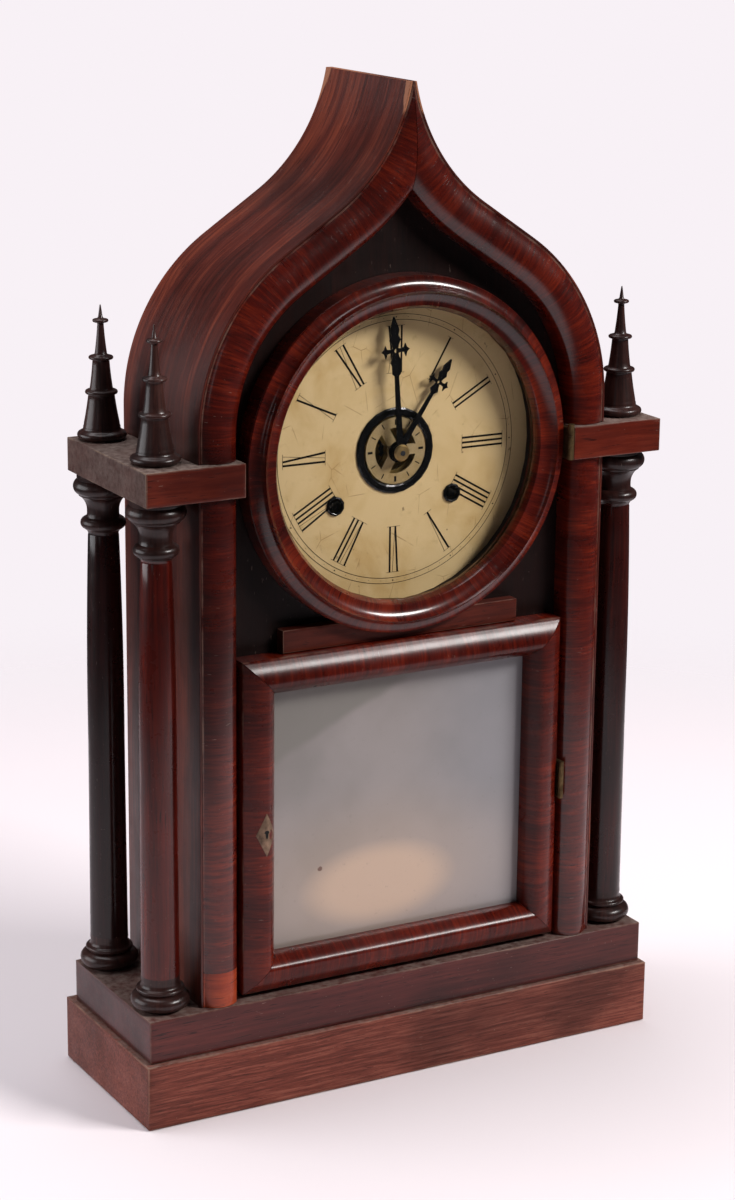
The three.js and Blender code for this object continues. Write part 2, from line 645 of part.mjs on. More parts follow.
function roundDoor() {
  const seatY = DIAL_GLASS_FRONT + GLASS_THICK + SEAT; // back of the glass
  const rebateR = DIAL_GLASS_R + SEAT;
  const section = [[0, 0.93], [0.08, 0.43], [0.24, 0.1], [0.42, 0], [0.63, 0.13], [0.82, 0.5], [0.95, 1]]
    .map(([across, fall]) => [BEZEL_R - across * BEZEL_WIDTH, BEZEL_CROWN + fall * BEZEL_FALL]);
  const profile = [
    [rebateR, BEZEL_BACK], [BEZEL_R, BEZEL_BACK], ...section, [BEZEL_IN_R, DIAL_GLASS_FRONT - SEAT],
    [rebateR, DIAL_GLASS_FRONT - SEAT], [rebateR, BEZEL_BACK]];
  piece('bezel_ring', turnedAlongY(profile, 0, DIAL_Z, 40), FIGURED);
  const pane = rodY(DIAL_GLASS_R, DIAL_GLASS_FRONT, seatY - SEAT, 0, DIAL_Z, 36);
  piece('bezel_glass', pane, GLASS);
  const bead = [
    [DIAL_GLASS_R - 3.5, seatY], [DIAL_GLASS_R, seatY], [DIAL_GLASS_R, seatY + 2.5],
    [DIAL_GLASS_R - 3.5, seatY]];
  piece('bezel_glass_bead', turnedAlongY(bead, 0, DIAL_Z, 28), PINE);
  const hinge = buttHinge({
    x: ROUND_HINGE_X, y: ROUND_HINGE_Y, base: ROUND_HINGE_BASE, height: ROUND_HINGE_HEIGHT,
    knuckleR: 2, leafGap: 0.25, leafTop: BLOCK_TOP - SEAT });
  piece('bezel_hinge_fixed_leaf', hinge.fixed, BRASS);
  piece('bezel_hinge_moving_leaf', hinge.moving, BRASS);
}

// ---------------------------------------------------------------- lower door

const LOCK = {
  left: -DOOR_HALF + 0.8,
  right: -DOOR_HALF + 15.5,
  front: DOOR_GLASS_FRONT - 2.2,
  back: DOOR_BACK - SEAT,
  halfHeight: 15,
  boltHeight: 7,
  boltFront: DOOR_GLASS_FRONT - 0.9,
  boltBack: DOOR_BACK - 2.6,
};

/** Section of the door frame: [distance in from the outer edge, y]. */
function doorSection() {
  const lip = DOOR_GLASS_FRONT - SEAT;
  const front = [
    [0, 0], [0.14, 0.35], [0.31, 0.73], [0.5, 0.95], [0.67, 1], [0.81, 0.85], [0.93, 0.38], [1, -0.25]];
  return [
    [0, DOOR_BACK],
    ...front.map(([across, swell]) => [across * DOOR_FRAME, DOOR_EDGE_Y - swell * DOOR_SWELL]),
    [DOOR_FRAME, lip], [DOOR_FRAME - DOOR_REBATE, lip], [DOOR_FRAME - DOOR_REBATE, DOOR_BACK]];
}

/** One side of the mitred frame, on edge a to b, given as [x, z] outer corners. */
function frameSide(a, b) {
  const along = new THREE.Vector3(b[0] - a[0], 0, b[1] - a[1]).normalize();
  const inward = new THREE.Vector3(-along.z, 0, along.x);
  const ring = (corner, sign) => doorSection().map(([inset, y]) => (
    new THREE.Vector3(corner[0], y, corner[1])
      .addScaledVector(inward, inset)
      .addScaledVector(along, sign * (inset + MITRE))));
  return loft([ring(a, 1), ring(b, -1)]);
}

function lowerDoor() {
  const [l, r, b, t] = [-DOOR_HALF, DOOR_HALF, DOOR_BASE, DOOR_TOP];
  piece('door_bottom_rail', frameSide([l, b], [r, b]), FIGURED);
  piece('door_top_rail', frameSide([r, t], [l, t]), FIGURED);
  piece('door_right_stile', frameSide([r, b], [r, t]), FIGURED);

  const rawStile = frameSide([l, t], [l, b]);
  const diamond = (grow) => [
    [LOCK_X - 6.1 - grow, LOCK_Z], [LOCK_X, LOCK_Z - 13 - grow * 2],
    [LOCK_X + 6.1 + grow, LOCK_Z], [LOCK_X, LOCK_Z + 13 + grow * 2]];
  const inlayDepth = 0.9;
  const front = (grow) => slab(diamond(grow), DOOR_CROWN_Y - 2, DOOR_GLASS_FRONT - 3);
  const keyhole = rodY(1.8, DOOR_CROWN_Y - 3, LOCK.front, LOCK_X, LOCK_Z + 1, 12)
    .add(box(LOCK_X - 0.9, LOCK_X + 0.9, DOOR_CROWN_Y - 3, LOCK.front, LOCK_Z - 5, LOCK_Z));
  const recess = front(SEAT).subtract(rawStile.translate(0, inlayDepth + SEAT, 0));
  const mortise = box(LOCK.left - SEAT, LOCK.right + SEAT, LOCK.front - SEAT, DOOR_BACK + 1,
    LOCK_Z - LOCK.halfHeight - SEAT, LOCK_Z + LOCK.halfHeight + SEAT);
  const boltWay = box(-DOOR_HALF - 1, LOCK.left, LOCK.boltFront - SEAT, LOCK.boltBack + SEAT,
    LOCK_Z - LOCK.boltHeight / 2 - SEAT, LOCK_Z + LOCK.boltHeight / 2 + SEAT);
  const stile = rawStile.subtract(recess).subtract(mortise).subtract(boltWay).subtract(keyhole);
  piece('door_left_stile', stile, FIGURED);
  const inlay = front(0).intersect(rawStile).subtract(rawStile.translate(0, inlayDepth, 0));
  piece('door_escutcheon', inlay.subtract(keyhole), BONE);

  const inset = DOOR_FRAME - DOOR_REBATE + SEAT;
  const pane = box(l + inset, r - inset, DOOR_GLASS_FRONT, DOOR_GLASS_FRONT + GLASS_THICK,
    b + inset, t - inset);
  piece('door_glass', pane, GLASS);

  lock();
  const hinge = buttHinge({
    x: DOOR_HINGE_X, y: DOOR_HINGE_Y, base: DOOR_HINGE_BASE, height: DOOR_HINGE_HEIGHT,
    knuckleR: 1.7, leafGap: 0.2 });
  piece('door_hinge_fixed_leaf', hinge.fixed, BRASS);
  piece('door_hinge_moving_leaf', hinge.moving, BRASS);
}

function lock() {
  const case_ = box(LOCK.left, LOCK.right, LOCK.front, LOCK.back,
    LOCK_Z - LOCK.halfHeight, LOCK_Z + LOCK.halfHeight);
  const half = LOCK.boltHeight / 2;
  const boltStart = -DOOR_HALF + 0.2;
  const boltEnd = LOCK.right - 1.5;
  const way = box(LOCK.left - 1, boltEnd + RUN, LOCK.boltFront - RUN, LOCK.boltBack + RUN,
    LOCK_Z - half - RUN, LOCK_Z + half + RUN);
  const keyway = rodY(1.8, LOCK.front - 1, LOCK.boltFront, LOCK_X, LOCK_Z + 1, 12)
    .add(box(LOCK_X - 0.9, LOCK_X + 0.9, LOCK.front - 1, LOCK.boltFront, LOCK_Z - 5, LOCK_Z));
  piece('door_lock', case_.subtract(way).subtract(keyway), BRASS);
  const bolt = box(boltStart, boltEnd, LOCK.boltFront, LOCK.boltBack, LOCK_Z - half, LOCK_Z + half);
  piece('door_lock_bolt', bolt, BRASS);
}

// ---------------------------------------------------------------- movement

/**
 * Outline of a spur wheel: points for its rim, with the middle of a tooth space
 * at the angle gapAt, and holes for its crossings. Angles are in degrees.
 */
function spurWheel({ teeth, pitchR, toothHalf, addendum, dedendum, gapAt, crossings, hubR, rimR }) {
  const points = [];
  const pitch = 360 / teeth;
  for (let i = 0; i < teeth; i += 1) {
    const middle = gapAt + (i + 0.5) * pitch;
    const at = (degrees, radius) => arc(0, 0, radius, middle + degrees, 0, 1)[0];
    points.push(at(-toothHalf, pitchR - dedendum), at(0, pitchR + addendum), at(toothHalf, pitchR - dedendum));
  }
  const holes = [];
  for (let i = 0; i < crossings; i += 1) {
    const step = 360 / crossings;
    const arm = 3; // half width of a crossing
    const open = (radius) => THREE.MathUtils.radToDeg(Math.asin(arm / radius));
    const [outerTrim, innerTrim] = [open(rimR), open(hubR)];
    const steps = Math.round(step / 15);
    holes.push([
      ...arc(0, 0, rimR, i * step + outerTrim, (i + 1) * step - outerTrim, steps),
      ...arc(0, 0, hubR, (i + 1) * step - innerTrim, i * step + innerTrim, steps / 2)]);
  }
  return { points, holes };
}

/** Lantern pinion along Y: pins on the pitch circle between two shrouds, one pin at pinAt degrees. */
function lanternPinion({ pins, pitchR, pinR, y0, y1, pinAt }) {
  const shroud = 0.6;
  const shroudR = pitchR + 2 * pinR;
  let body = rodY(shroudR, y0, y0 + shroud, 0, 0, 14).add(rodY(shroudR, y1 - shroud, y1, 0, 0, 14));
  for (let i = 0; i < pins; i += 1) {
    const [x, z] = arc(0, 0, pitchR, pinAt + (360 * i) / pins, 0, 1)[0];
    body = body.add(rodY(pinR, y0 + shroud / 2, y1 - shroud / 2, x, z, 6));
  }
  return body;
}

/** Great wheel on its winding arbor, squared at the front for the key. */
function greatWheel(side, wheelY) {
  const x = side * KEY_X;
  const { points, holes } = spurWheel({
    teeth: WHEEL_TEETH, pitchR: GREAT_R, toothHalf: 2.9, addendum: GREAT_ADDENDUM, dedendum: 1.7,
    gapAt: THREE.MathUtils.radToDeg(Math.atan2(KEY_DROP, -x)), crossings: 4, hubR: 9, rimR: GREAT_R - 5.5 });
  const wheel = slab(points, wheelY, wheelY + GREAT_THICK, holes).translate(x, 0, KEY_Z);
  const square = KEY_SQUARE / 2;
  const back = BACK_PLATE_Y + PLATE + 0.6;
  const ratchet = rodY(8, wheelY + GREAT_THICK - 0.01, wheelY + 3.4, x, KEY_Z, 12);
  return wheel
    .add(rodY(ARBOR_R, FRONT_PLATE_Y - 1, back, x, KEY_Z))
    .add(ratchet)
    .add(box(x - square, x + square, DIAL_FRONT, FRONT_PLATE_Y, KEY_Z - square, KEY_Z + square));
}

/** Mainspring: a flat spiral strip beside its great wheel. */
function mainspring(side) {
  const x = side * KEY_X;
  const turns = 4;
  const strip = 0.6;
  const innerR = ARBOR_R + SEAT + strip / 2;
  const radius = (t) => THREE.MathUtils.lerp(innerR, SPRING_COIL_R, t);
  const steps = turns * 11;
  const edge = (grow) => Array.from({ length: steps + 1 }, (_, i) => {
    const t = i / steps;
    const angle = side * turns * t * 2 * Math.PI;
    const r = radius(t) + grow;
    return [x + r * Math.cos(angle), KEY_Z + r * Math.sin(angle)];
  });
  return slab([...edge(0), ...edge(strip).reverse()], STRIKE_WHEEL_Y + 5.5, BACK_PLATE_Y - 2);
}

function movementPlates() {
  const corners = [];
  for (const x of [-PLATE_HALF + 7, PLATE_HALF - 7]) {
    for (const z of [PLATE_BASE + 7, PLATE_TOP - 7]) corners.push([x, z]);
  }
  const outline = [
    [-PLATE_HALF, PLATE_BASE], [PLATE_HALF, PLATE_BASE], [PLATE_HALF, PLATE_TOP], [-PLATE_HALF, PLATE_TOP]];
  const bores = [
    arc(-KEY_X, KEY_Z, bore(ARBOR_R), 0, 360, 10), arc(KEY_X, KEY_Z, bore(ARBOR_R), 0, 360, 10),
    arc(0, DIAL_Z, bore(CENTRE_R), 0, 360, 10), arc(HAMMER_X, HAMMER_Z, bore(CENTRE_R), 0, 360, 10)];
  const tenonR = PILLAR_R - 1;
  const tenons = corners.map(([x, z]) => arc(x, z, bore(tenonR, 8), 0, 360, 8));
  const front = slab(outline, FRONT_PLATE_Y, FRONT_PLATE_Y + PLATE, [...bores, ...tenons]);
  const post = rodY(CENTRE_R, DIAL_FRONT + DIAL_THICK + SEAT, FRONT_PLATE_Y + 1, -MOTION_DISTANCE, DIAL_Z);
  piece('movement_front_plate', front.add(post), BRASS);
  let back = slab(outline, BACK_PLATE_Y, BACK_PLATE_Y + PLATE, bores);
  for (const [x, z] of corners) {
    back = back.add(rodY(PILLAR_R, FRONT_PLATE_Y + PLATE + SEAT, BACK_PLATE_Y + 0.5, x, z, 8));
    back = back.add(rodY(tenonR, FRONT_PLATE_Y - 1.5, BACK_PLATE_Y, x, z, 8));
  }
  const stud = rodY(CENTRE_R, BACK_PLATE_Y + PLATE - 0.5, PENDULUM_Y + 3, 0, PENDULUM_Z);
  const tab = box(-8, 8, BACK_PLATE_Y, BACK_PLATE_Y + PLATE, PLATE_TOP - 1, PENDULUM_Z + 5);
  const stop = rodY(CENTRE_R + 1, PENDULUM_Y + 2.2, PENDULUM_Y + 3.4, 0, PENDULUM_Z);
  piece('movement_back_plate', back.add(tab).add(stud).add(stop), BRASS);

  const [y0, y1] = [BACK_PLATE_Y + PLATE + SEAT, CASE_BACK - BACKBOARD - SEAT];
  const legX = PLATE_HALF - 12;
  const [barBase, barTop] = [PLATE_TOP + 14, PLATE_TOP + 26];
  const leg = box(legX - 8, legX + 8, y0, y1, PLATE_BASE + 3, barTop);
  piece('movement_seat', leg.add(mirrored(leg)).add(box(-legX, legX, y0, y1, barBase, barTop)), PINE);
}

/**
 * Points of a fretted hand pointing up: tapered stem, barbs, a cross of two
 * four-pointed stars, barbs again and a spear tip. Scale is 1 on the minute hand.
 */
function handOutline(length, crossAt, bossR, scale, collar) {
  const fret = [
    [3.6, -6.6], [2.2, -3.6], [1.7, -1.3], [3.3, -0.9], [5.5, -1.2], [6.5, -4], [7.4, -1.2], [9.1, 0.2],
    [7.4, 1.5], [6.5, 3.8], [5.5, 1.5], [3.3, 1.1], [1.7, 1.5], [2.2, 3.6], [3.6, 6.3], [2.2, 9], [3, 12]];
  const below = collar ? [[1.3, -14.6], [2.7, -13.2], [2.7, -8.4]] : [[1.3, -9]];
  const half = [
    [2, bossR * 0.8], ...[...below, ...fret].map(([u, v]) => [u * scale, crossAt + v * scale]), [0.3, length]];
  return [...half, ...half.map(([u, v]) => [-u, v]).reverse()];
}

function hand({ length, crossAt, bossR, shaftR, y, rest, scale, collar }) {
  const eye = [
    [0, crossAt - 1.5 * scale], [1.1 * scale, crossAt], [0, crossAt + 1.5 * scale], [-1.1 * scale, crossAt]];
  const stem = slab(handOutline(length, crossAt, bossR, scale, collar), y, y + HAND_THICK, [eye]);
  const boss = rodY(bossR, y, y + HAND_THICK, 0, 0, 20);
  const hole = rodY(bore(shaftR), y - 1, y + HAND_THICK + 1, 0, 0);
  return stem.add(boss).subtract(hole).rotate([0, rest, 0]).translate(0, 0, DIAL_Z);
}

/** Toothed wheel of the motion work, flat from y backwards, with a space at gapAt degrees. */
function motionWheel(teeth, pitchR, y, gapAt, crossings = 0) {
  const { points, holes } = spurWheel({
    teeth, pitchR, toothHalf: 5.4, addendum: 0.7, dedendum: 1.3, gapAt, crossings, hubR: 5, rimR: pitchR - 4 });
  return slab(points, y, y + MOTION_THICK, holes);
}

function motionWork() {
  const arborBack = BACK_PLATE_Y + PLATE + 0.6;
  const pinR = 0.6;
  const drive = lanternPinion({
    pins: PINION_PINS, pitchR: GREAT_DISTANCE - GREAT_R, pinR: 0.75, y0: FRONT_PLATE_Y + PLATE + SEAT,
    y1: STRIKE_WHEEL_Y - 0.8, pinAt: THREE.MathUtils.radToDeg(Math.atan2(-KEY_DROP, KEY_X)) });
  const cannon = lanternPinion({
    pins: CANNON_PINS, pitchR: (MOTION_DISTANCE * CANNON_PINS) / (CANNON_PINS + MINUTE_TEETH), pinR,
    y0: MINUTE_WHEEL_Y - 1.4, y1: FRONT_PLATE_Y - 0.6, pinAt: 180 });
  const arbor = rodY(CENTRE_R, MINUTE_HAND_Y - 2.7, arborBack, 0, 0);
  piece('centre_arbor', arbor.add(drive).add(cannon).translate(0, 0, DIAL_Z), STEEL);

  const minuteR = (MOTION_DISTANCE * MINUTE_TEETH) / (CANNON_PINS + MINUTE_TEETH);
  const hourR = (MOTION_DISTANCE * HOUR_TEETH) / (MINUTE_PINS + HOUR_TEETH);
  const pinion = lanternPinion({
    pins: MINUTE_PINS, pitchR: MOTION_DISTANCE - hourR, pinR, y0: HOUR_WHEEL_Y - 1.8,
    y1: MINUTE_WHEEL_Y + 0.4, pinAt: 0 });
  const minuteWheel = motionWheel(MINUTE_TEETH, minuteR, MINUTE_WHEEL_Y, 0).add(pinion)
    .subtract(rodY(bore(CENTRE_R), HOUR_WHEEL_Y - 3, FRONT_PLATE_Y, 0, 0));
  piece('minute_wheel', minuteWheel.translate(-MOTION_DISTANCE, 0, DIAL_Z), BRASS);

  const inner = bore(CENTRE_R, 20);
  const pipe = [
    [inner, HOUR_HAND_Y - 0.6], [PIPE_R, HOUR_HAND_Y - 0.6], [PIPE_R, HOUR_WHEEL_Y],
    [PIPE_R, HOUR_WHEEL_Y + MOTION_THICK], [inner, HOUR_WHEEL_Y + MOTION_THICK], [inner, HOUR_HAND_Y - 0.6]];
  const hourWheel = motionWheel(HOUR_TEETH, hourR, HOUR_WHEEL_Y, 180, 3)
    .subtract(rodY(PIPE_R - 0.3, HOUR_WHEEL_Y - 1, FRONT_PLATE_Y, 0, 0))
    .add(turnedAlongY(pipe, 0, 0, 20));
  piece('hour_wheel', hourWheel.translate(0, 0, DIAL_Z), BRASS);

  const nut = [
    [inner, MINUTE_HAND_Y - SEAT], [4.6, MINUTE_HAND_Y - SEAT], [4.9, MINUTE_HAND_Y - 1.2],
    [4, MINUTE_HAND_Y - 2.2], [inner, MINUTE_HAND_Y - 2.4], [inner, MINUTE_HAND_Y - SEAT]];
  piece('hand_nut', turnedAlongY(nut, 0, DIAL_Z, 20), BRASS);
  piece('minute_hand', hand({
    length: MINUTE_LENGTH, crossAt: 59, bossR: 5.2, shaftR: CENTRE_R, y: MINUTE_HAND_Y, rest: MINUTE_REST,
    scale: 1, collar: true }), BLACK);
  piece('hour_hand', hand({
    length: HOUR_LENGTH, crossAt: 46, bossR: 6.2, shaftR: PIPE_R, y: HOUR_HAND_Y, rest: HOUR_REST,
    scale: 0.8, collar: false }), BLACK);

  const { holes } = spurWheel({
    teeth: 3, pitchR: ALARM_R, toothHalf: 1, addendum: 0, dedendum: 0, gapAt: 0, crossings: 3, hubR: 5.2,
    rimR: 13.4 });
  const disc = slab(arc(0, 0, ALARM_R, 0, 360, 28), ALARM_Y, ALARM_Y + HAND_THICK, holes)
    .subtract(rodY(bore(PIPE_R), ALARM_Y - 1, ALARM_Y + 2, 0, 0));
  piece('alarm_disc', disc.translate(0, 0, DIAL_Z), BRASS);
}

function movement() {
  movementPlates();
  piece('time_great_wheel', greatWheel(1, TIME_WHEEL_Y), BRASS);
  piece('strike_great_wheel', greatWheel(-1, STRIKE_WHEEL_Y), BRASS);
  piece('time_mainspring', mainspring(1), STEEL);
  piece('strike_mainspring', mainspring(-1), STEEL);
  motionWork();
}

// ---------------------------------------------------------------- pendulum and strike

function pendulum() {
  const eye = rodY(4, PENDULUM_Y - 1.2, PENDULUM_Y + 1.2, 0, PENDULUM_Z)
    .subtract(rodY(bore(CENTRE_R), PENDULUM_Y - 2, PENDULUM_Y + 2, 0, PENDULUM_Z));
  const rod = rodZ(ROD_R, BOB_Z - BOB_R - 3, PENDULUM_Z - 3, 0, PENDULUM_Y, 12);
  piece('pendulum_rod', eye.add(rod), STEEL);
  const half = BOB_THICK / 2;
  const lens = [
    [0, PENDULUM_Y - half], [BOB_R * 0.5, PENDULUM_Y - half * 0.8], [BOB_R * 0.85, PENDULUM_Y - half * 0.4],
    [BOB_R, PENDULUM_Y], [BOB_R * 0.85, PENDULUM_Y + half * 0.4], [BOB_R * 0.5, PENDULUM_Y + half * 0.8],
    [0, PENDULUM_Y + half]];
  const hole = rodZ(bore(ROD_R), BOB_Z - BOB_R - 5, BOB_Z + BOB_R + 5, 0, PENDULUM_Y);
  piece('pendulum_bob', turnedAlongY(lens, 0, BOB_Z, 16).subtract(hole), BRASS);
}

function gongAndHammer() {
  const wallY = CASE_BACK - BACKBOARD - SEAT;
  const postR = 4.4;
  const base = box(-14, 14, GONG_Y + 5, wallY, GONG_Z - 10, GONG_Z + 10)
    .add(rodY(postR, GONG_Y - 3, GONG_Y + 6, 0, GONG_Z, 14));
  piece('gong_base', base, IRON);
  const steps = GONG_TURNS * 10;
  const startR = postR + GONG_WIRE_R + 4 * SEAT;
  const coil = Array.from({ length: steps + 1 }, (_, i) => {
    const t = i / steps;
    const r = THREE.MathUtils.lerp(startR, GONG_R, t);
    const angle = GONG_TURNS * 2 * Math.PI * t;
    return new THREE.Vector3(r * Math.cos(angle), GONG_Y, GONG_Z + r * Math.sin(angle));
  });
  piece('wire_gong', wire(coil, GONG_WIRE_R, 5, steps), STEEL);

  const arbor = rodY(CENTRE_R, FRONT_PLATE_Y - 0.6, PENDULUM_Y + 6, HAMMER_X, HAMMER_Z);
  const headX = GONG_R + GONG_WIRE_R + 1.5;
  const headZ = GONG_Z + 6;
  const armY = PENDULUM_Y + 5;
  const arm = wire([
    new THREE.Vector3(HAMMER_X, armY, HAMMER_Z), new THREE.Vector3(HAMMER_X + 16, armY, HAMMER_Z - 24),
    new THREE.Vector3(HAMMER_BOW_X, armY, HAMMER_Z - 70), new THREE.Vector3(HAMMER_BOW_X, armY, BOB_Z - 20),
    new THREE.Vector3(headX + 5, armY, headZ)], 1, 5, 10);
  const head = turned([[0, 0], [4.5, 0], [5, 1], [5, 8], [4.5, 9], [0, 9]], 10)
    .rotate([0, 90, 0]).translate(headX, armY, headZ);
  piece('strike_hammer', arbor.add(arm).add(head), STEEL);
}

plinths();
caseSides();
mouldings();
capitalBlocks();
columnsAndFinials();
fasciaAndRail();
dial();
roundDoor();
lowerDoor();
movement();
pendulum();
gongAndHammer();

export default group;
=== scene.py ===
"""Studio picture of an ogee shelf clock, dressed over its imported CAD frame.

The clock's construction comes from the frame and is never moved. Each class
below makes one sub-assembly: it holds that piece's sizes, builds its meshes and
gives them their finish. Lengths are metres, the front faces -Y.
"""

import logging
import math
from dataclasses import dataclass, field, replace
from enum import Enum
from typing import Callable, Iterable, NamedTuple, Optional, Sequence

import bmesh
import bpy
from mathutils import Matrix, Vector


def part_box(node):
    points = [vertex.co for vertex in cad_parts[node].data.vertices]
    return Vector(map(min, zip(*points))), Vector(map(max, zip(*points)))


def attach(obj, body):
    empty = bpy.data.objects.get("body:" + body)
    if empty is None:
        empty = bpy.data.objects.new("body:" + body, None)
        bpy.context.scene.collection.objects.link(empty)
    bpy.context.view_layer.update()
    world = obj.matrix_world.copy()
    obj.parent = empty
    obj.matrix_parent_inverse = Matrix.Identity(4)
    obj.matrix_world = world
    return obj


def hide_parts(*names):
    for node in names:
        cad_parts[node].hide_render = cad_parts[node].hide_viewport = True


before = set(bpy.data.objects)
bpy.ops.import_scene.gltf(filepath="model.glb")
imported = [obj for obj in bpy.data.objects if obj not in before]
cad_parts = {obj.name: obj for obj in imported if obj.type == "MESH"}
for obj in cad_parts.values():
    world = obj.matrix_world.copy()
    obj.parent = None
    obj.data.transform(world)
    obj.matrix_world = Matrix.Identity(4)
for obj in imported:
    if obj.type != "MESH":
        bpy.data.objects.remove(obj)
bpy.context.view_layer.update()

LOG = logging.getLogger("ogee_clock")
MM = 0.001
DIAL_CENTRE = Vector((0, 0, 376 * MM))
PLAY = 0.15 * MM
Colour = tuple[float, float, float]
Socket = bpy.types.NodeSocket


def srgb(code: str) -> Colour:
    """Turns a screen colour into scene colour.

    Args:
        code: six hexadecimal digits, such as "5a2318".

    Returns:
        Linear red, green and blue.
    """
    parts = [int(code[i:i + 2], 16) / 255 for i in (0, 2, 4)]
    return tuple(c / 12.92 if c <= 0.04045 else ((c + 0.055) / 1.055) ** 2.4 for c in parts)


# ------------------------------------------------------------------ materials


class Bench:
    """A material's node tree, with short calls for the nodes that finishes use."""

    def __init__(self, name: str) -> None:
        """Starts a material that holds one Principled shader."""
        self.material = bpy.data.materials.new(name)
        self.material.use_nodes = True
        self.tree = self.material.node_tree
        self.tree.nodes.clear()
        self.shader = self.tree.nodes.new("ShaderNodeBsdfPrincipled")
        output = self.tree.nodes.new("ShaderNodeOutputMaterial")
        self.tree.links.new(self.shader.outputs[0], output.inputs["Surface"])

    def node(self, kind: str, **settings: object) -> bpy.types.Node:
        """Adds a node and sets its properties."""
        made = self.tree.nodes.new(kind)
        for key, value in settings.items():
            setattr(made, key, value)
        return made

    def put(self, target: Socket, value: object) -> None:
        """Links a socket to a value that is a socket, or else sets it."""
        if isinstance(value, bpy.types.NodeSocket):
            self.tree.links.new(value, target)
        elif isinstance(value, tuple) and len(value) == 3 and target.type == "RGBA":
            target.default_value = (*value, 1.0)
        else:
            target.default_value = value

    def set(self, **sockets: object) -> None:
        """Sets or links the shader's sockets, named with _ for spaces."""
        for key, value in sockets.items():
            self.put(self.shader.inputs[key.replace("_", " ")], value)

    def attribute(self, name: str, output: str = "Fac") -> Socket:
        """Reads a mesh attribute."""
        return self.node("ShaderNodeAttribute", attribute_name=name).outputs[output]

    def place(self) -> Socket:
        """The point's place in the object's own coordinates."""
        return self.node("ShaderNodeTexCoord").outputs["Object"]

    def scaled(self, vector: Socket, scale: Sequence[float]) -> Socket:
        """Multiplies a vector by three numbers."""
        made = self.node("ShaderNodeVectorMath", operation="MULTIPLY")
        self.put(made.inputs[0], vector)
        made.inputs[1].default_value = tuple(scale)
        return made.outputs[0]

    def noise(self, vector: Socket, scale: float = 1.0, detail: float = 3.0,
              rough: float = 0.5, warp: float = 0.0) -> Socket:
        """Noise from 0 to 1 over a vector."""
        made = self.node("ShaderNodeTexNoise")
        self.put(made.inputs["Vector"], vector)
        self.put(made.inputs["Scale"], scale)
        self.put(made.inputs["Detail"], detail)
        self.put(made.inputs["Roughness"], rough)
        self.put(made.inputs["Distortion"], warp)
        return made.outputs[0]

    def cells(self, vector: Socket, scale: float, feature: str = "F1") -> Socket:
        """Distance to the nearest point, or edge, of a cell pattern."""
        made = self.node("ShaderNodeTexVoronoi", feature=feature)
        self.put(made.inputs["Vector"], vector)
        self.put(made.inputs["Scale"], scale)
        return made.outputs["Distance"]

    def math(self, operation: str, a: object, b: object = 0.0, clamp: bool = False) -> Socket:
        """A math node of two values."""
        made = self.node("ShaderNodeMath", operation=operation, use_clamp=clamp)
        self.put(made.inputs[0], a)
        self.put(made.inputs[1], b)
        return made.outputs[0]

    def plus(self, a: object, b: object) -> Socket:
        """The sum of two values."""
        return self.math("ADD", a, b)

    def times(self, a: object, b: object) -> Socket:
        """The product of two values."""
        return self.math("MULTIPLY", a, b)

    def split(self, vector: Socket) -> tuple[Socket, Socket, Socket]:
        """A vector's X, Y and Z."""
        made = self.node("ShaderNodeSeparateXYZ")
        self.put(made.inputs[0], vector)
        return tuple(made.outputs)

    def join(self, *parts: Socket) -> Socket:
        """A vector made of two or three values."""
        made = self.node("ShaderNodeCombineXYZ")
        for target, value in zip(made.inputs, parts):
            self.put(target, value)
        return made.outputs[0]

    def distance(self, vector: Socket, place: Sequence[float]) -> Socket:
        """How far a vector is from a place."""
        made = self.node("ShaderNodeVectorMath", operation="DISTANCE")
        self.put(made.inputs[0], vector)
        made.inputs[1].default_value = tuple(place)
        return made.outputs["Value"]

    def span(self, value: Socket, low: float, high: float, to: tuple[float, float] = (0, 1)) -> Socket:
        """Maps a value from low..high to another span, clamped."""
        made = self.node("ShaderNodeMapRange", interpolation_type="SMOOTHSTEP")
        self.put(made.inputs["Value"], value)
        for name, number in zip(("From Min", "From Max", "To Min", "To Max"), (low, high, *to)):
            made.inputs[name].default_value = number
        return made.outputs[0]

    def ramp(self, value: Socket, stops: Iterable[tuple[float, Colour]]) -> Socket:
        """A colour ramp through stops of place and colour."""
        made = self.node("ShaderNodeValToRGB")
        self.put(made.inputs[0], value)
        elements = made.color_ramp.elements
        stops = list(stops)
        while len(elements) < len(stops):
            elements.new(0.5)
        for element, (place, colour) in zip(elements, stops):
            element.position = place
            element.color = (*colour, 1.0)
        return made.outputs[0]

    def mix(self, a: object, b: object, share: object, blend: str = "MIX") -> Socket:
        """Mixes colour b into colour a by a share."""
        made = self.node("ShaderNodeMix", data_type="RGBA", blend_type=blend)
        self.put(made.inputs["Factor"], share)
        self.put(made.inputs[6], a)
        self.put(made.inputs[7], b)
        return made.outputs[2]

    def bump(self, height: Socket, strength: float, distance: float) -> None:
        """Gives the shader a bumped normal."""
        made = self.node("ShaderNodeBump")
        self.put(made.inputs["Height"], height)
        made.inputs["Strength"].default_value = strength
        made.inputs["Distance"].default_value = distance
        self.put(self.shader.inputs["Normal"], made.outputs[0])


class Grain(Enum):
    """Where a wood finish takes the run of its grain from."""

    MESH = "the mesh's grain attribute"
    UPRIGHT = "object Z"


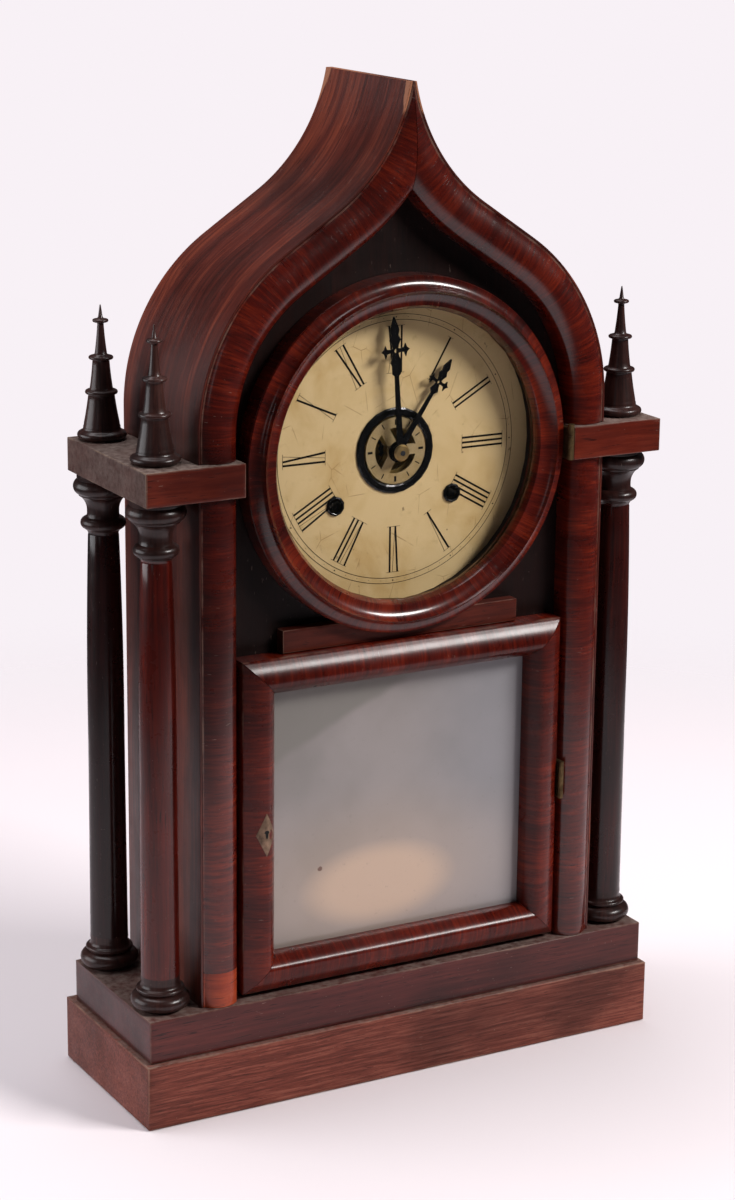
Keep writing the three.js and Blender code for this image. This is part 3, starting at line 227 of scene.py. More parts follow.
@dataclass(frozen=True)
class Wood:
    """Old wood or veneer under varnish, with fibres, figure, dirt and worn edges."""

    name: str
    slot: str
    dark: Colour
    mid: Colour
    light: Colour
    grain: Grain = Grain.MESH
    fibres: float = 420.0
    figure: float = 26.0
    stretch: float = 0.06
    figure_share: float = 0.6
    sway: float = 0.012
    roughness: float = 0.3
    shine: float = 0.12
    coat: float = 0.5
    coat_roughness: float = 0.2
    worn: Colour = srgb("6e5347")
    wear: float = 0.7
    dust: float = 0.0
    ledge_dust: float = 0.0
    specks: float = 0.5

    def run(self, bench: Bench) -> Socket:
        """The coordinate whose X runs along the grain."""
        if self.grain is Grain.MESH:
            return bench.attribute("grain", "Vector")
        x, y, z = bench.split(bench.place())
        return bench.join(z, x, y)

    def material(self) -> bpy.types.Material:
        """Builds the finish's material."""
        bench = Bench(self.name)
        run = self.run(bench)
        tone = bench.attribute("tone")
        bend = bench.noise(bench.scaled(run, (9, 14, 14)), detail=2)
        shift = bench.node("ShaderNodeVectorMath", operation="MULTIPLY_ADD")
        bench.put(shift.inputs[0], bend)
        shift.inputs[1].default_value = (0.0, self.sway, self.sway)
        bench.put(shift.inputs[2], run)
        bent = shift.outputs[0]

        figure = bench.noise(
            bench.scaled(bent, (self.figure * self.stretch * 3, self.figure, self.figure)),
            detail=5, rough=0.62, warp=0.4)
        fibre = bench.noise(
            bench.scaled(bent, (self.fibres * self.stretch, self.fibres, self.fibres)),
            detail=7, rough=0.7)
        both = bench.plus(bench.times(figure, self.figure_share), bench.times(fibre, 1 - self.figure_share))
        both = bench.plus(both, bench.times(tone, 0.12))
        colour = bench.ramp(both, [(0.33, self.dark), (0.5, self.mid), (0.68, self.light)])

        pore_scale = (self.fibres * 0.16, self.fibres * 3.2, self.fibres * 3.2)
        pores = bench.noise(bench.scaled(bent, pore_scale), detail=2)
        pore = bench.span(pores, 0.62, 0.7, (0, 0.75))
        colour = bench.mix(colour, tuple(c * 0.25 for c in self.dark), pore)
        cloud = bench.noise(bench.place(), scale=11, detail=3)
        colour = bench.mix(colour, tuple(c * 0.35 for c in self.dark),
                           bench.span(cloud, 0.42, 0.72, (0, 0.55)))

        grit = bench.noise(bench.place(), scale=260, detail=4, rough=0.7)
        patchy = bench.noise(bench.place(), scale=45, detail=4, rough=0.65)
        edge = bench.attribute("wear")
        rubbed = bench.span(bench.times(edge, bench.plus(patchy, 0.3)), 0.68, 1.0)
        scratch = bench.noise(bench.scaled(bent, (160, 1500, 1500)), detail=1)
        scratch = bench.times(bench.span(scratch, 0.745, 0.76), bench.span(patchy, 0.5, 0.62))
        speck = bench.span(bench.noise(bench.place(), scale=900, detail=1), 0.79, 0.81)
        speck = bench.times(bench.math("MAXIMUM", speck, scratch), self.specks)
        colour = bench.mix(colour, self.worn, bench.times(rubbed, self.wear))
        colour = bench.mix(colour, srgb("a08a7e"), bench.times(speck, 0.7))
        if self.dust or self.ledge_dust:
            lie = bench.split(bench.node("ShaderNodeTexCoord").outputs["Normal"])[2]
            settled = bench.span(lie, 0.8, 0.98, (self.dust, self.dust + self.ledge_dust))
            film = bench.times(bench.span(grit, 0.2, 0.75), settled)
            film = bench.times(film, bench.span(patchy, 0.3, 0.6, (0.6, 1)))
            colour = bench.mix(colour, srgb("8f8078"), film)

        uneven = bench.span(patchy, 0.3, 0.75, (self.roughness - 0.06, self.roughness + 0.12))
        rough = bench.math("ADD", uneven, bench.times(rubbed, 0.3), clamp=True)
        height = bench.plus(bench.times(pore, -0.6), bench.times(fibre, 0.35))
        height = bench.plus(height, bench.times(grit, 0.12))
        bench.bump(height, 0.22, 0.0005)
        bench.set(Base_Color=colour, Roughness=rough, Specular_IOR_Level=self.shine, Coat_Weight=self.coat,
                  Coat_Roughness=self.coat_roughness, Coat_IOR=1.5)
        return bench.material


@dataclass(frozen=True)
class Metal:
    """A metal with tarnish that gathers in cloudy patches; given a depth, everything in front of it is
    painted near black as painted shade.
    """

    name: str
    slot: str
    bright: Colour
    tarnish: Colour
    roughness: float = 0.35
    metallic: float = 1.0
    scale: float = 90.0
    painted_shade_from: Optional[float] = None

    def material(self) -> bpy.types.Material:
        """Builds the finish's material."""
        bench = Bench(self.name)
        cloud = bench.noise(bench.place(), scale=self.scale, detail=6, rough=0.65)
        fine = bench.noise(bench.place(), scale=self.scale * 14, detail=3)
        colour = bench.ramp(cloud, [(0.35, self.bright), (0.68, self.tarnish)])
        rough = bench.span(cloud, 0.3, 0.7, (self.roughness, min(1.0, self.roughness + 0.25)))
        # Painted shade: in front of this depth the colour goes near black, standing for the shade inside the
        # dial's winding holes.
        if self.painted_shade_from is not None:
            depth = bench.split(bench.place())[1]
            front = bench.span(depth, self.painted_shade_from - 0.001, self.painted_shade_from, (1, 0))
            colour = bench.mix(colour, srgb("0b0a0a"), front)
        bench.bump(fine, 0.12, 0.0003)
        bench.set(Base_Color=colour, Roughness=rough, Metallic=self.metallic)
        return bench.material


@dataclass(frozen=True)
class Lacquer:
    """Black japanning or paint, glossy, with faint grey rubs."""

    name: str
    slot: str
    colour: Colour
    rub: Colour
    roughness: float = 0.3
    coat: float = 0.35

    def material(self) -> bpy.types.Material:
        """Builds the finish's material."""
        bench = Bench(self.name)
        rubs = bench.noise(bench.place(), scale=320, detail=5, rough=0.7)
        colour = bench.mix(self.colour, self.rub, bench.span(rubs, 0.55, 0.75, (0, 0.6)))
        rough = bench.span(rubs, 0.4, 0.75, (self.roughness, self.roughness + 0.25))
        bench.bump(rubs, 0.08, 0.0002)
        bench.set(Base_Color=colour, Roughness=rough, Specular_IOR_Level=0.1, Coat_Weight=self.coat,
                  Coat_Roughness=0.12)
        return bench.material


@dataclass(frozen=True)
class DialPaint:
    """Cream dial paint, yellowed, with hairline cracks and stains."""

    name: str = "dial_cream"
    slot: str = "dial_paint"
    cream: Colour = srgb("dabf8c")
    yellow: Colour = srgb("c9a970")
    stain: Colour = srgb("9a7a4a")

    def material(self) -> bpy.types.Material:
        """Builds the finish's material."""
        bench = Bench(self.name)
        place = bench.place()
        broad = bench.noise(place, scale=22, detail=4, rough=0.6, warp=0.5)
        colour = bench.mix(self.cream, self.yellow, bench.span(broad, 0.4, 0.68))
        mottle = bench.noise(place, scale=120, detail=6, rough=0.7)
        colour = bench.mix(colour, self.stain, bench.span(mottle, 0.56, 0.8, (0, 0.5)))
        cracks = bench.cells(bench.scaled(place, (46, 46, 34)), 1.0, "DISTANCE_TO_EDGE")
        wander = bench.noise(place, scale=60, detail=3)
        line = bench.times(bench.span(cracks, 0.0, 0.012, (1, 0)), bench.span(wander, 0.48, 0.6))
        colour = bench.mix(colour, self.stain, bench.times(line, 0.8))
        spots = bench.span(bench.noise(place, scale=210, detail=2), 0.72, 0.78, (0, 0.7))
        colour = bench.mix(colour, srgb("6e5636"), spots)
        bench.bump(bench.plus(mottle, bench.times(line, -1.0)), 0.1, 0.0002)
        rough = bench.span(mottle, 0.3, 0.7, (0.5, 0.7))
        bench.set(Base_Color=colour, Roughness=rough, Specular_IOR_Level=0.25)
        return bench.material


@dataclass(frozen=True)
class ClearGlass:
    """Thin window glass, nearly unseen, that keeps its gloss."""

    name: str = "clear_glass"
    slot: str = "glass"
    alpha: float = 0.05

    def material(self) -> bpy.types.Material:
        """Builds the finish's material."""
        bench = Bench(self.name)
        smear = bench.noise(bench.place(), scale=35, detail=5)
        bench.set(Base_Color=srgb("2a2c29"), Alpha=self.alpha,
                  Roughness=bench.span(smear, 0.35, 0.7, (0.03, 0.09)), IOR=1.5)
        return bench.material


@dataclass(frozen=True)
class CloudedGlass:
    """The lower door's pane: silvery and clouded, with a painted warm reflection low down and a painted dark
    band across the top left.
    """

    name: str = "clouded_glass"
    slot: str = "glass"
    silver: Colour = srgb("8f8886")
    dim: Colour = srgb("7d7875")
    warm_reflection: Colour = srgb("c9ad96")
    painted_glow: tuple[float, float, float] = (-0.006, 0.118, 0.0)
    fleck: tuple[float, float, float] = (-0.051, -0.042, 0.133)

    def material(self) -> bpy.types.Material:
        """Builds the finish's material."""
        bench = Bench(self.name)
        place = bench.place()
        x, _, z = bench.split(place)
        mist = bench.noise(place, scale=14, detail=3)
        colour = bench.mix(self.silver, self.dim, bench.span(mist, 0.35, 0.7))
        # Painted shade: a darker band across the top left of the pane, a dark reflection painted into its
        # colour.
        shade_band = bench.plus(bench.times(x, -0.42), z)
        shade_band = bench.plus(shade_band, bench.times(mist, 0.02))
        colour = bench.mix(colour, srgb("6f6c66"), bench.span(shade_band, 0.246, 0.253, (0, 0.8)))
        # Painted reflection: a warm glow low in the middle of the pane, with a faint wider halo.
        reach = bench.distance(bench.join(bench.times(x, 0.5), z), self.painted_glow)
        colour = bench.mix(colour, srgb("84868e"), bench.span(x, -0.01, 0.07, (0, 0.55)))
        painted_warmth = bench.span(reach, 0.016, 0.07, (0.3, 0))
        painted_glow = bench.span(reach, 0.014, 0.035, (0.85, 0))
        colour = bench.mix(colour, self.warm_reflection, bench.math("MAXIMUM", painted_glow, painted_warmth))
        fray = bench.noise(place, scale=400, detail=3)
        ragged = bench.plus(bench.distance(place, self.fleck), bench.times(fray, 0.0022))
        colour = bench.mix(colour, srgb("5a3424"), bench.span(ragged, 0.0024, 0.003, (0.9, 0)))
        grime = bench.noise(place, scale=300, detail=4, rough=0.7)
        colour = bench.mix(colour, srgb("6d6863"), bench.span(grime, 0.6, 0.8, (0, 0.3)))
        bench.bump(mist, 0.05, 0.001)
        bench.set(Base_Color=colour, Metallic=0.1, Roughness=0.5, Coat_Weight=0.6, Coat_Roughness=0.05)
        return bench.material


@dataclass(frozen=True)
class Floor:
    """Pale paper under the clock, which fades out where the lit area ends."""

    name: str = "pale_floor"
    colour: Colour = srgb("ebe3e7")
    near: float = 0.55
    far: float = 1.0

    def material(self) -> bpy.types.Material:
        """Builds the finish's material."""
        bench = Bench(self.name)
        reach = bench.distance(bench.place(), (0, 0, 0))
        bench.set(Base_Color=self.colour, Roughness=0.8, Specular_IOR_Level=0.1,
                  Alpha=bench.span(reach, self.near, self.far, (1, 0)))
        return bench.material


SIDE_VENEER = Wood(
    "side_veneer", "rosewood", srgb("1e0906"), srgb("511f17"), srgb("88402b"),
    figure=34, fibres=420, stretch=0.022, figure_share=0.5, roughness=0.36, coat=0.5, coat_roughness=0.28,
    worn=srgb("ad7355"))
CROSS_VENEER = Wood(
    "cross_veneer", "figured_rosewood", srgb("230604"), srgb("4a0f07"), srgb("76240f"),
    figure=52, fibres=560, stretch=0.06, figure_share=0.4, roughness=0.3, coat=0.75, coat_roughness=0.17)
DOOR_VENEER = replace(CROSS_VENEER, name="door_veneer", coat=0.28, coat_roughness=0.2)
PATCH_VENEER = Wood(
    "patch_veneer", "figured_rosewood", srgb("4a140a"), srgb("84301a"), srgb("ab4c2a"),
    figure=34, fibres=330, stretch=0.05, roughness=0.32, coat=0.4)
SHAFT_RED = Wood(
    "shaft_red", "figured_rosewood", srgb("1f0604"), srgb("4f0f07"), srgb("7d2411"),
    figure=40, fibres=300, stretch=0.02, figure_share=0.5, roughness=0.3, coat=0.6, coat_roughness=0.16,
    wear=0.3)
# Painted shade: darker copies of the red shaft wood, for the columns seen in shade.
SHAFT_SHADED = replace(SHAFT_RED, name="shaft_painted_shade", dark=srgb("0c0303"), mid=srgb("1f0706"),
                     light=srgb("3b100b"), coat=0.5)
SHAFT_HALF_SHADED = replace(SHAFT_SHADED, name="shaft_painted_half_shade", mid=srgb("2c0b08"), light=srgb("571a10"))
EBONISED = Wood(
    "ebonised", "ebonised_wood", srgb("150a09"), srgb("2e1916"), srgb("4a2b25"),
    figure=50, fibres=500, stretch=0.08, roughness=0.4, coat=0.4, coat_roughness=0.24, wear=0.5)
BLOCK_FACE = Wood(
    "block_face", "ebonised_wood", srgb("2f0d08"), srgb("581c11"), srgb("7d3220"),
    figure=30, fibres=380, stretch=0.05, roughness=0.34, coat=0.35, coat_roughness=0.25)
BLOCK_SIDE = Wood(
    "block_side", "ebonised_wood", srgb("2e1c19"), srgb("4a302b"), srgb("664a44"),
    figure=24, fibres=420, stretch=0.05, roughness=0.5, coat=0.05,
    worn=srgb("84705f"), dust=0.3, ledge_dust=0.45)
FASCIA = Wood(
    "fascia_dark", "ebonised_wood", srgb("0c0403"), srgb("1a0806"), srgb("2e100a"), grain=Grain.UPRIGHT,
    figure=22, fibres=420, stretch=0.03, roughness=0.5, coat=0.12, coat_roughness=0.3)
RAIL = Wood(
    "rail_wood", "rosewood", srgb("2a0d08"), srgb("501d13"), srgb("6f3020"),
    figure=22, fibres=420, stretch=0.04, roughness=0.42, coat=0.2, coat_roughness=0.3)
PLINTH_UPPER = Wood(
    "plinth_upper", "rosewood", srgb("240b09"), srgb("4a1b18"), srgb("702e26"),
    figure=20, fibres=420, stretch=0.03, sway=0.004, roughness=0.36, coat=0.45, coat_roughness=0.24,
    ledge_dust=0.7)
PLINTH_LOWER = Wood(
    "plinth_lower", "rosewood", srgb("361610"), srgb("70372b"), srgb("985b4b"),
    figure=18, fibres=800, stretch=0.04, figure_share=0.25, sway=0.003, roughness=0.5, coat=0.2,
    coat_roughness=0.34, worn=srgb("8d6c5c"), ledge_dust=0.6)
SOFTWOOD = Wood(
    "old_softwood", "softwood", srgb("4a3322"), srgb("7a5a3c"), srgb("9c7a55"), grain=Grain.UPRIGHT,
    figure=16, fibres=260, stretch=0.02, roughness=0.75, coat=0.0, wear=0.0)
OLD_BRASS = Metal("old_brass", "brass", srgb("b3985a"), srgb("6a5530"), 0.35)
HINGE_BRASS = Metal("hinge_brass", "brass", srgb("7d6848"), srgb("3a2c20"), 0.45)
ALARM_BRASS = Metal("alarm_brass", "brass", srgb("c9b285"), srgb("a48c5c"), 0.45, 0.75, 60)
NUT_BRASS = Metal("nut_brass", "brass", srgb("c7ab76"), srgb("8d7242"), 0.3)
# The great wheels' fronts, seen through the winding holes, are painted near black: painted shade.
SHADED_WHEEL_BRASS = replace(OLD_BRASS, name="wheel_brass_painted_shade", painted_shade_from=-0.03)
DARK_STEEL = Metal("dark_steel", "steel", srgb("5c5d60"), srgb("2c2b2a"), 0.4)
BLACK_IRON = Metal("black_iron", "cast_iron", srgb("2a2a2b"), srgb("141312"), 0.6, 0.6)
BLACK_PAINT = Lacquer("black_japan", "black_lacquer", srgb("060608"), srgb("19191c"))
NUMERAL_INK = Lacquer("numeral_ink", "dial_paint", srgb("14110d"), srgb("3a3022"), 0.6, 0.0)
ESCUTCHEON_INLAY = Metal("escutcheon_metal", "inlay", srgb("917660"), srgb("4d3b2f"), 0.45, 0.5, 160)

_made: dict[str, bpy.types.Material] = {}


def finished(finish: object) -> bpy.types.Material:
    """The finish's material, made the first time it is asked for."""
    if finish.name not in _made:
        _made[finish.name] = finish.material()
    return _made[finish.name]


# ------------------------------------------------------------------ mesh making


class Skin:
    """A piece's points and faces, with the grain, tone and wear its finish reads."""

    def __init__(self) -> None:
        """Starts with nothing."""
        self.points: list[Vector] = []
        self.grain: list[tuple[float, float, float]] = []
        self.wear: list[float] = []
        self.faces: list[tuple[int, ...]] = []
        self.slots: list[int] = []
        self.tones: list[float] = []

    def point(self, place: Sequence[float], grain: Sequence[float] = (0, 0, 0), wear: float = 0.0) -> int:
        """Adds a point and returns its number."""
        self.points.append(Vector(place))
        self.grain.append(tuple(grain))
        self.wear.append(wear)
        return len(self.points) - 1

    def face(self, corners: Sequence[int], slot: int = 0, tone: float = 0.0) -> None:
        """Adds a face."""
        self.faces.append(tuple(corners))
        self.slots.append(slot)
        self.tones.append(tone)

    def bridge(self, first: Sequence[int], second: Sequence[int], slot: int = 0, tone: float = 0.0) -> None:
        """Joins two rings of points, either of which may be a single pole."""
        count = max(len(first), len(second))
        for i in range(count):
            j = (i + 1) % count
            corners = [first[i % len(first)], first[j % len(first)],
                       second[j % len(second)], second[i % len(second)]]
            corners = [c for k, c in enumerate(corners) if c != corners[k - 1]]
            if len(set(corners)) >= 3:
                self.face(corners, slot, tone)

    def loft(self, rings: Sequence[Sequence[int]], slots: Sequence[int] = (), last_slot: int = 0,
             tones: Sequence[float] = ()) -> None:
        """Joins rings in order and closes both ends.

        Args:
            rings: rings of points.
            slots: the finish of each band between two rings, the first finish if left out.
            last_slot: the finish of the last ring's own face.
            tones: the tone of each band.
        """
        for k, (first, second) in enumerate(zip(rings, rings[1:])):
            self.bridge(first, second, slots[k] if slots else 0, tones[k] if tones else 0.0)
        self.face(rings[0])
        self.face(rings[-1], last_slot)

    def plate(self, corners: Sequence[Vector], depth: float) -> None:
        """Adds a thin flat plate that reaches back from its front corners by a depth."""
        back = Vector((0, depth, 0))
        self.loft([[self.point(c) for c in corners], [self.point(c + back) for c in corners]])

    def build(self, name: str, finishes: Sequence[object], angle: float = 32.0) -> bpy.types.Object:
        """Makes the mesh object, smooth except across edges sharper than an angle."""
        mesh = bpy.data.meshes.new(name)
        mesh.from_pydata(self.points, [], self.faces)
        mesh.attributes.new("grain", "FLOAT_VECTOR", "POINT").data.foreach_set(
            "vector", [c for g in self.grain for c in g])
        mesh.attributes.new("wear", "FLOAT", "POINT").data.foreach_set("value", self.wear)
        mesh.attributes.new("tone", "FLOAT", "FACE").data.foreach_set("value", self.tones)
        mesh.polygons.foreach_set("material_index", self.slots)
        thing = bpy.data.objects.new(name, mesh)
        bpy.context.scene.collection.objects.link(thing)
        for finish in finishes:
            mesh.materials.append(finished(finish))
        edit(thing, lambda bm: bmesh.ops.recalc_face_normals(bm, faces=bm.faces))
        crease(thing, angle)
        return thing


def edit(thing: bpy.types.Object, work: Callable[[bmesh.types.BMesh], object]) -> None:
    """Runs some mesh work on an object's mesh."""
    bm = bmesh.new()
    bm.from_mesh(thing.data)
    work(bm)
    bm.to_mesh(thing.data)
    bm.free()
    thing.data.update()


def crease(thing: bpy.types.Object, angle: float) -> None:
    """Shades a mesh smooth, but sharp across edges of more than an angle in degrees."""
    limit = math.radians(angle)

    def mark(bm: bmesh.types.BMesh) -> None:
        """Marks the sharp edges."""
        for face in bm.faces:
            face.smooth = True
        for edge in bm.edges:
            edge.smooth = len(edge.link_faces) == 2 and edge.calc_face_angle(0) < limit
    edit(thing, mark)


def carve(thing: bpy.types.Object, low: Sequence[float], high: Sequence[float],
          angle: float = 40.0) -> None:
    """Cuts a box out of a closed mesh.

    Args:
        thing: what is cut.
        low: the box's lowest corner.
        high: its highest corner.
        angle: edges sharper than this stay sharp.
    """
    bm = bmesh.new()
    bmesh.ops.create_cube(bm, size=1.0)
    for vert in bm.verts:
        vert.co = Vector([low[k] if vert.co[k] < 0 else high[k] for k in range(3)])
    mesh = bpy.data.meshes.new("cutter")
    bm.to_mesh(mesh)
    bm.free()
    cutter = bpy.data.objects.new("cutter", mesh)
    bpy.context.scene.collection.objects.link(cutter)
    modifier = thing.modifiers.new("carve", "BOOLEAN")
    modifier.operation, modifier.solver, modifier.object = "DIFFERENCE", "EXACT", cutter
    bpy.context.view_layer.update()
    graph = bpy.context.evaluated_depsgraph_get()
    cut = bpy.data.meshes.new_from_object(
        thing.evaluated_get(graph), preserve_all_data_layers=True, depsgraph=graph)
    thing.modifiers.remove(modifier)
    bpy.data.objects.remove(cutter)
    name, old = thing.data.name, thing.data
    thing.data = cut
    bpy.data.meshes.remove(old)
    cut.name = name
    crease(thing, angle)


def seat(thing: bpy.types.Object, body: str, nodes: Sequence[str], slot: str) -> bpy.types.Object:
    """Puts a piece on its CAD body, in place of the nodes it stands for."""
    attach(thing, body)
    if nodes:
        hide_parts(*nodes)
    LOG.info("%s: %d faces on %s", thing.name, len(thing.data.polygons), body)
    return thing


def dress(finish: object, *nodes: str) -> None:
    """Gives CAD nodes that stay a finish of this scene."""
    for node in nodes:
        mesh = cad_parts[node].data
        mesh.materials.clear()
        mesh.materials.append(finished(finish))
        LOG.info("%s: dressed in %s", node, finish.name)


def clock_face(degrees: float) -> tuple[Vector, Vector]:
    """The ways out and across at an angle clockwise from the top of the dial."""
    angle = math.radians(degrees)
    return (Vector((math.sin(angle), 0, math.cos(angle))), Vector((math.cos(angle), 0, -math.sin(angle))))


def upright_axis(node: str) -> Vector:
    """The point on the ground below the middle of a CAD node."""
    low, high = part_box(node)
    return Vector(((low[0] + high[0]) / 2, (low[1] + high[1]) / 2, 0))


def grown(name: str, tree: bpy.types.NodeTree, finish: object, **inputs: object) -> bpy.types.Object:
    """Evaluates a Geometry Nodes tree once and keeps its mesh.

    Args:
        name: the new object's name.
        tree: the tree, whose group inputs are named.
        finish: what the result is finished in.
        inputs: values for the group inputs, named with _ for spaces.

    Returns:
        A plain mesh object.
    """
    blank = bpy.data.objects.new(f"{name}_source", bpy.data.meshes.new(f"{name}_source"))
    bpy.context.scene.collection.objects.link(blank)
    modifier = blank.modifiers.new("grow", "NODES")
    modifier.node_group = tree
    sockets = {item.name: item.identifier for item in tree.interface.items_tree
               if item.item_type == "SOCKET" and item.in_out == "INPUT"}
    for key, value in inputs.items():
        modifier[sockets[key.replace("_", " ")]] = value
    bpy.context.view_layer.update()
    graph = bpy.context.evaluated_depsgraph_get()
    mesh = bpy.data.meshes.new_from_object(blank.evaluated_get(graph))
    blank.modifiers.remove(modifier)
    bpy.data.objects.remove(blank)
    mesh.name = name
    mesh.materials.clear()
    mesh.materials.append(finished(finish))
    thing = bpy.data.objects.new(name, mesh)
    bpy.context.scene.collection.objects.link(thing)
    return thing


class Axis(Enum):
    """Which way a turned piece or a board points."""

    UP = "Z"
    FRONT = "Y"


class Turn(NamedTuple):
    """A point of a turned profile: radius, height, how far the line to it bows out, wear, its wood."""

    radius: float
    height: float
    bow: float = 0.0
    wear: float = 0.0
    slot: int = 0


def turns(rows: Iterable[Sequence[float]], base: float = 0.0, way: int = 1, slot: int = 0) -> list[Turn]:
    """Makes profile points of one wood.

    Args:
        rows: radius and height off the base in millimetres, then bow and wear where there is any.
        base: where heights count from.
        way: 1 to count upwards, -1 to count downwards.
        slot: the wood's place among the piece's finishes.

    Returns:
        The points in order.
    """
    return [Turn(radius * MM, base + way * height * MM, *rest)._replace(slot=slot)
            for radius, height, *rest in rows]


def turned_line(points: Sequence[Turn], steps: int = 8) -> list[Turn]:
    """Fills the bowed stretches of a profile with arc points.

    Args:
        points: the profile's corners; bow is the arc's rise over half its chord.
        steps: points along each arc.

    Returns:
        The whole profile.
    """
    line = [points[0]]
    for before, after in zip(points, points[1:]):
        if after.bow:
            a, b = Vector((before.radius, before.height)), Vector((after.radius, after.height))
            half = (b - a) / 2
            normal = Vector((half.y, -half.x))
            turn = 4 * math.atan(after.bow)
            centre = a + half - normal * ((1 - after.bow ** 2) / (2 * after.bow))
            arm = a - centre
            for i in range(1, steps):
                spun = Matrix.Rotation(turn * i / steps, 2) @ arm
                line.append(Turn(centre.x + spun.x, centre.y + spun.y, 0.0, after.wear, after.slot))
        line.append(after)
    return line


def lathe(profile: Sequence[Turn], centre: Vector, along: Axis, steps: int,
          joints: Sequence[float] = (), tones: Sequence[float] = (0.0,), shift: float = 0.0) -> Skin:
    """Turns a profile round an axis.

    Args:
        profile: radius and height of each point, from one end to the other.
        centre: a point on the axis, where height is 0.
        along: UP for a standing piece, FRONT for a ring in the clock's front plane.
        steps: facets round the axis.
        joints: for a ring veneered in lengths, the angle in degrees at which each starts.
        tones: how light each length is.
        shift: moves the grain so that no two pieces look the same.

    Returns:
        The skin.
    """
    skin = Skin()
    rings: list[list[int]] = []
    run = 0.0
    closed_profile = profile[0].radius > 1e-6
    for i, turn in enumerate(profile):
        if i:
            run += math.hypot(turn.radius - profile[i - 1].radius, turn.height - profile[i - 1].height)
        ring = []
        for j in range(1 if turn.radius < 1e-6 else steps):
            angle = 2 * math.pi * j / steps
            c, s = turn.radius * math.cos(angle), turn.radius * math.sin(angle)
            if along is Axis.UP:
                place = centre + Vector((c, s, turn.height))
                grain = (turn.height + shift, 0.014 * math.cos(angle) + shift, 0.014 * math.sin(angle))
            else:
                place = centre + Vector((c, turn.height, s))
                grain = (run + shift, 0.095 * math.cos(angle), 0.095 * math.sin(angle) + shift)
            ring.append(skin.point(place, grain, turn.wear))
        rings.append(ring)
    sequence = list(zip(rings, rings[1:]))
    if closed_profile:
        sequence.append((rings[-1], rings[0]))
    for k, (first, second) in enumerate(sequence):
        start = len(skin.faces)
        skin.bridge(first, second, profile[(k + 1) % len(profile)].slot)
        for f in range(start, len(skin.faces)):
            degrees = 360.0 * (f - start) / steps
            length = sum(1 for joint in joints if degrees >= joint)
            skin.tones[f] = tones[length % len(tones)]
    return skin


def prism(outline: Sequence[tuple[float, float]], low: float, high: float, axis: Axis,
          rounding: float, rim: float, shift: float = 0.0, front_slot: int = 0) -> Skin:
    """A board cut to an outline, with rounded, worn edges and its grain along X.

    Args:
        outline: points in X and Y for a board that lies, or in X and Z for one that faces the front.
        low: where it starts along the axis.
        high: where it ends.
        axis: the axis it is thick along.
        rounding: width of the rounded edge.
        rim: how far wear reaches in from an edge.
        shift: moves the grain.
        front_slot: the finish of the faces that look to the front.

    Returns:
        The skin.
    """
    bm = bmesh.new()
    put = (lambda u, v, w: (u, v, w)) if axis is Axis.UP else (lambda u, v, w: (u, w, v))
    bottom = [bm.verts.new(put(u, v, low)) for u, v in outline]
    top = [bm.verts.new(put(u, v, high)) for u, v in outline]
    bm.faces.new(bottom)
    bm.faces.new(top)
    for i in range(len(outline)):
        j = (i + 1) % len(outline)
        bm.faces.new((bottom[i], bottom[j], top[j], top[i]))
    bmesh.ops.recalc_face_normals(bm, faces=bm.faces)
    sharp = [e for e in bm.edges if e.calc_face_angle(0) > math.radians(20)]
    bmesh.ops.bevel(bm, geom=sharp, offset=rounding, segments=3, profile=0.5, affect="EDGES")
    worn = set(bm.verts)
    flats = [f for f in bm.faces if max(abs(c) for c in f.normal) > 0.995]
    bmesh.ops.inset_individual(bm, faces=flats, thickness=rim, use_even_offset=True)
    skin = Skin()
    numbers = {}
    for vert in bm.verts:
        x, y, z = vert.co
        numbers[vert] = skin.point(vert.co, (x + shift, y + shift, z), 1.0 if vert in worn else 0.0)
    for face in bm.faces:
        skin.face([numbers[v] for v in face.verts], front_slot if face.normal.y < -0.7 else 0)
    bm.free()
    return skin


# ------------------------------------------------------------------ the case


class Station(NamedTuple):
    """A place on the case outline: point, outward normal, run so far, share of the arch."""

    x: float
    z: float
    nx: float
    nz: float
    run: float
    share: float


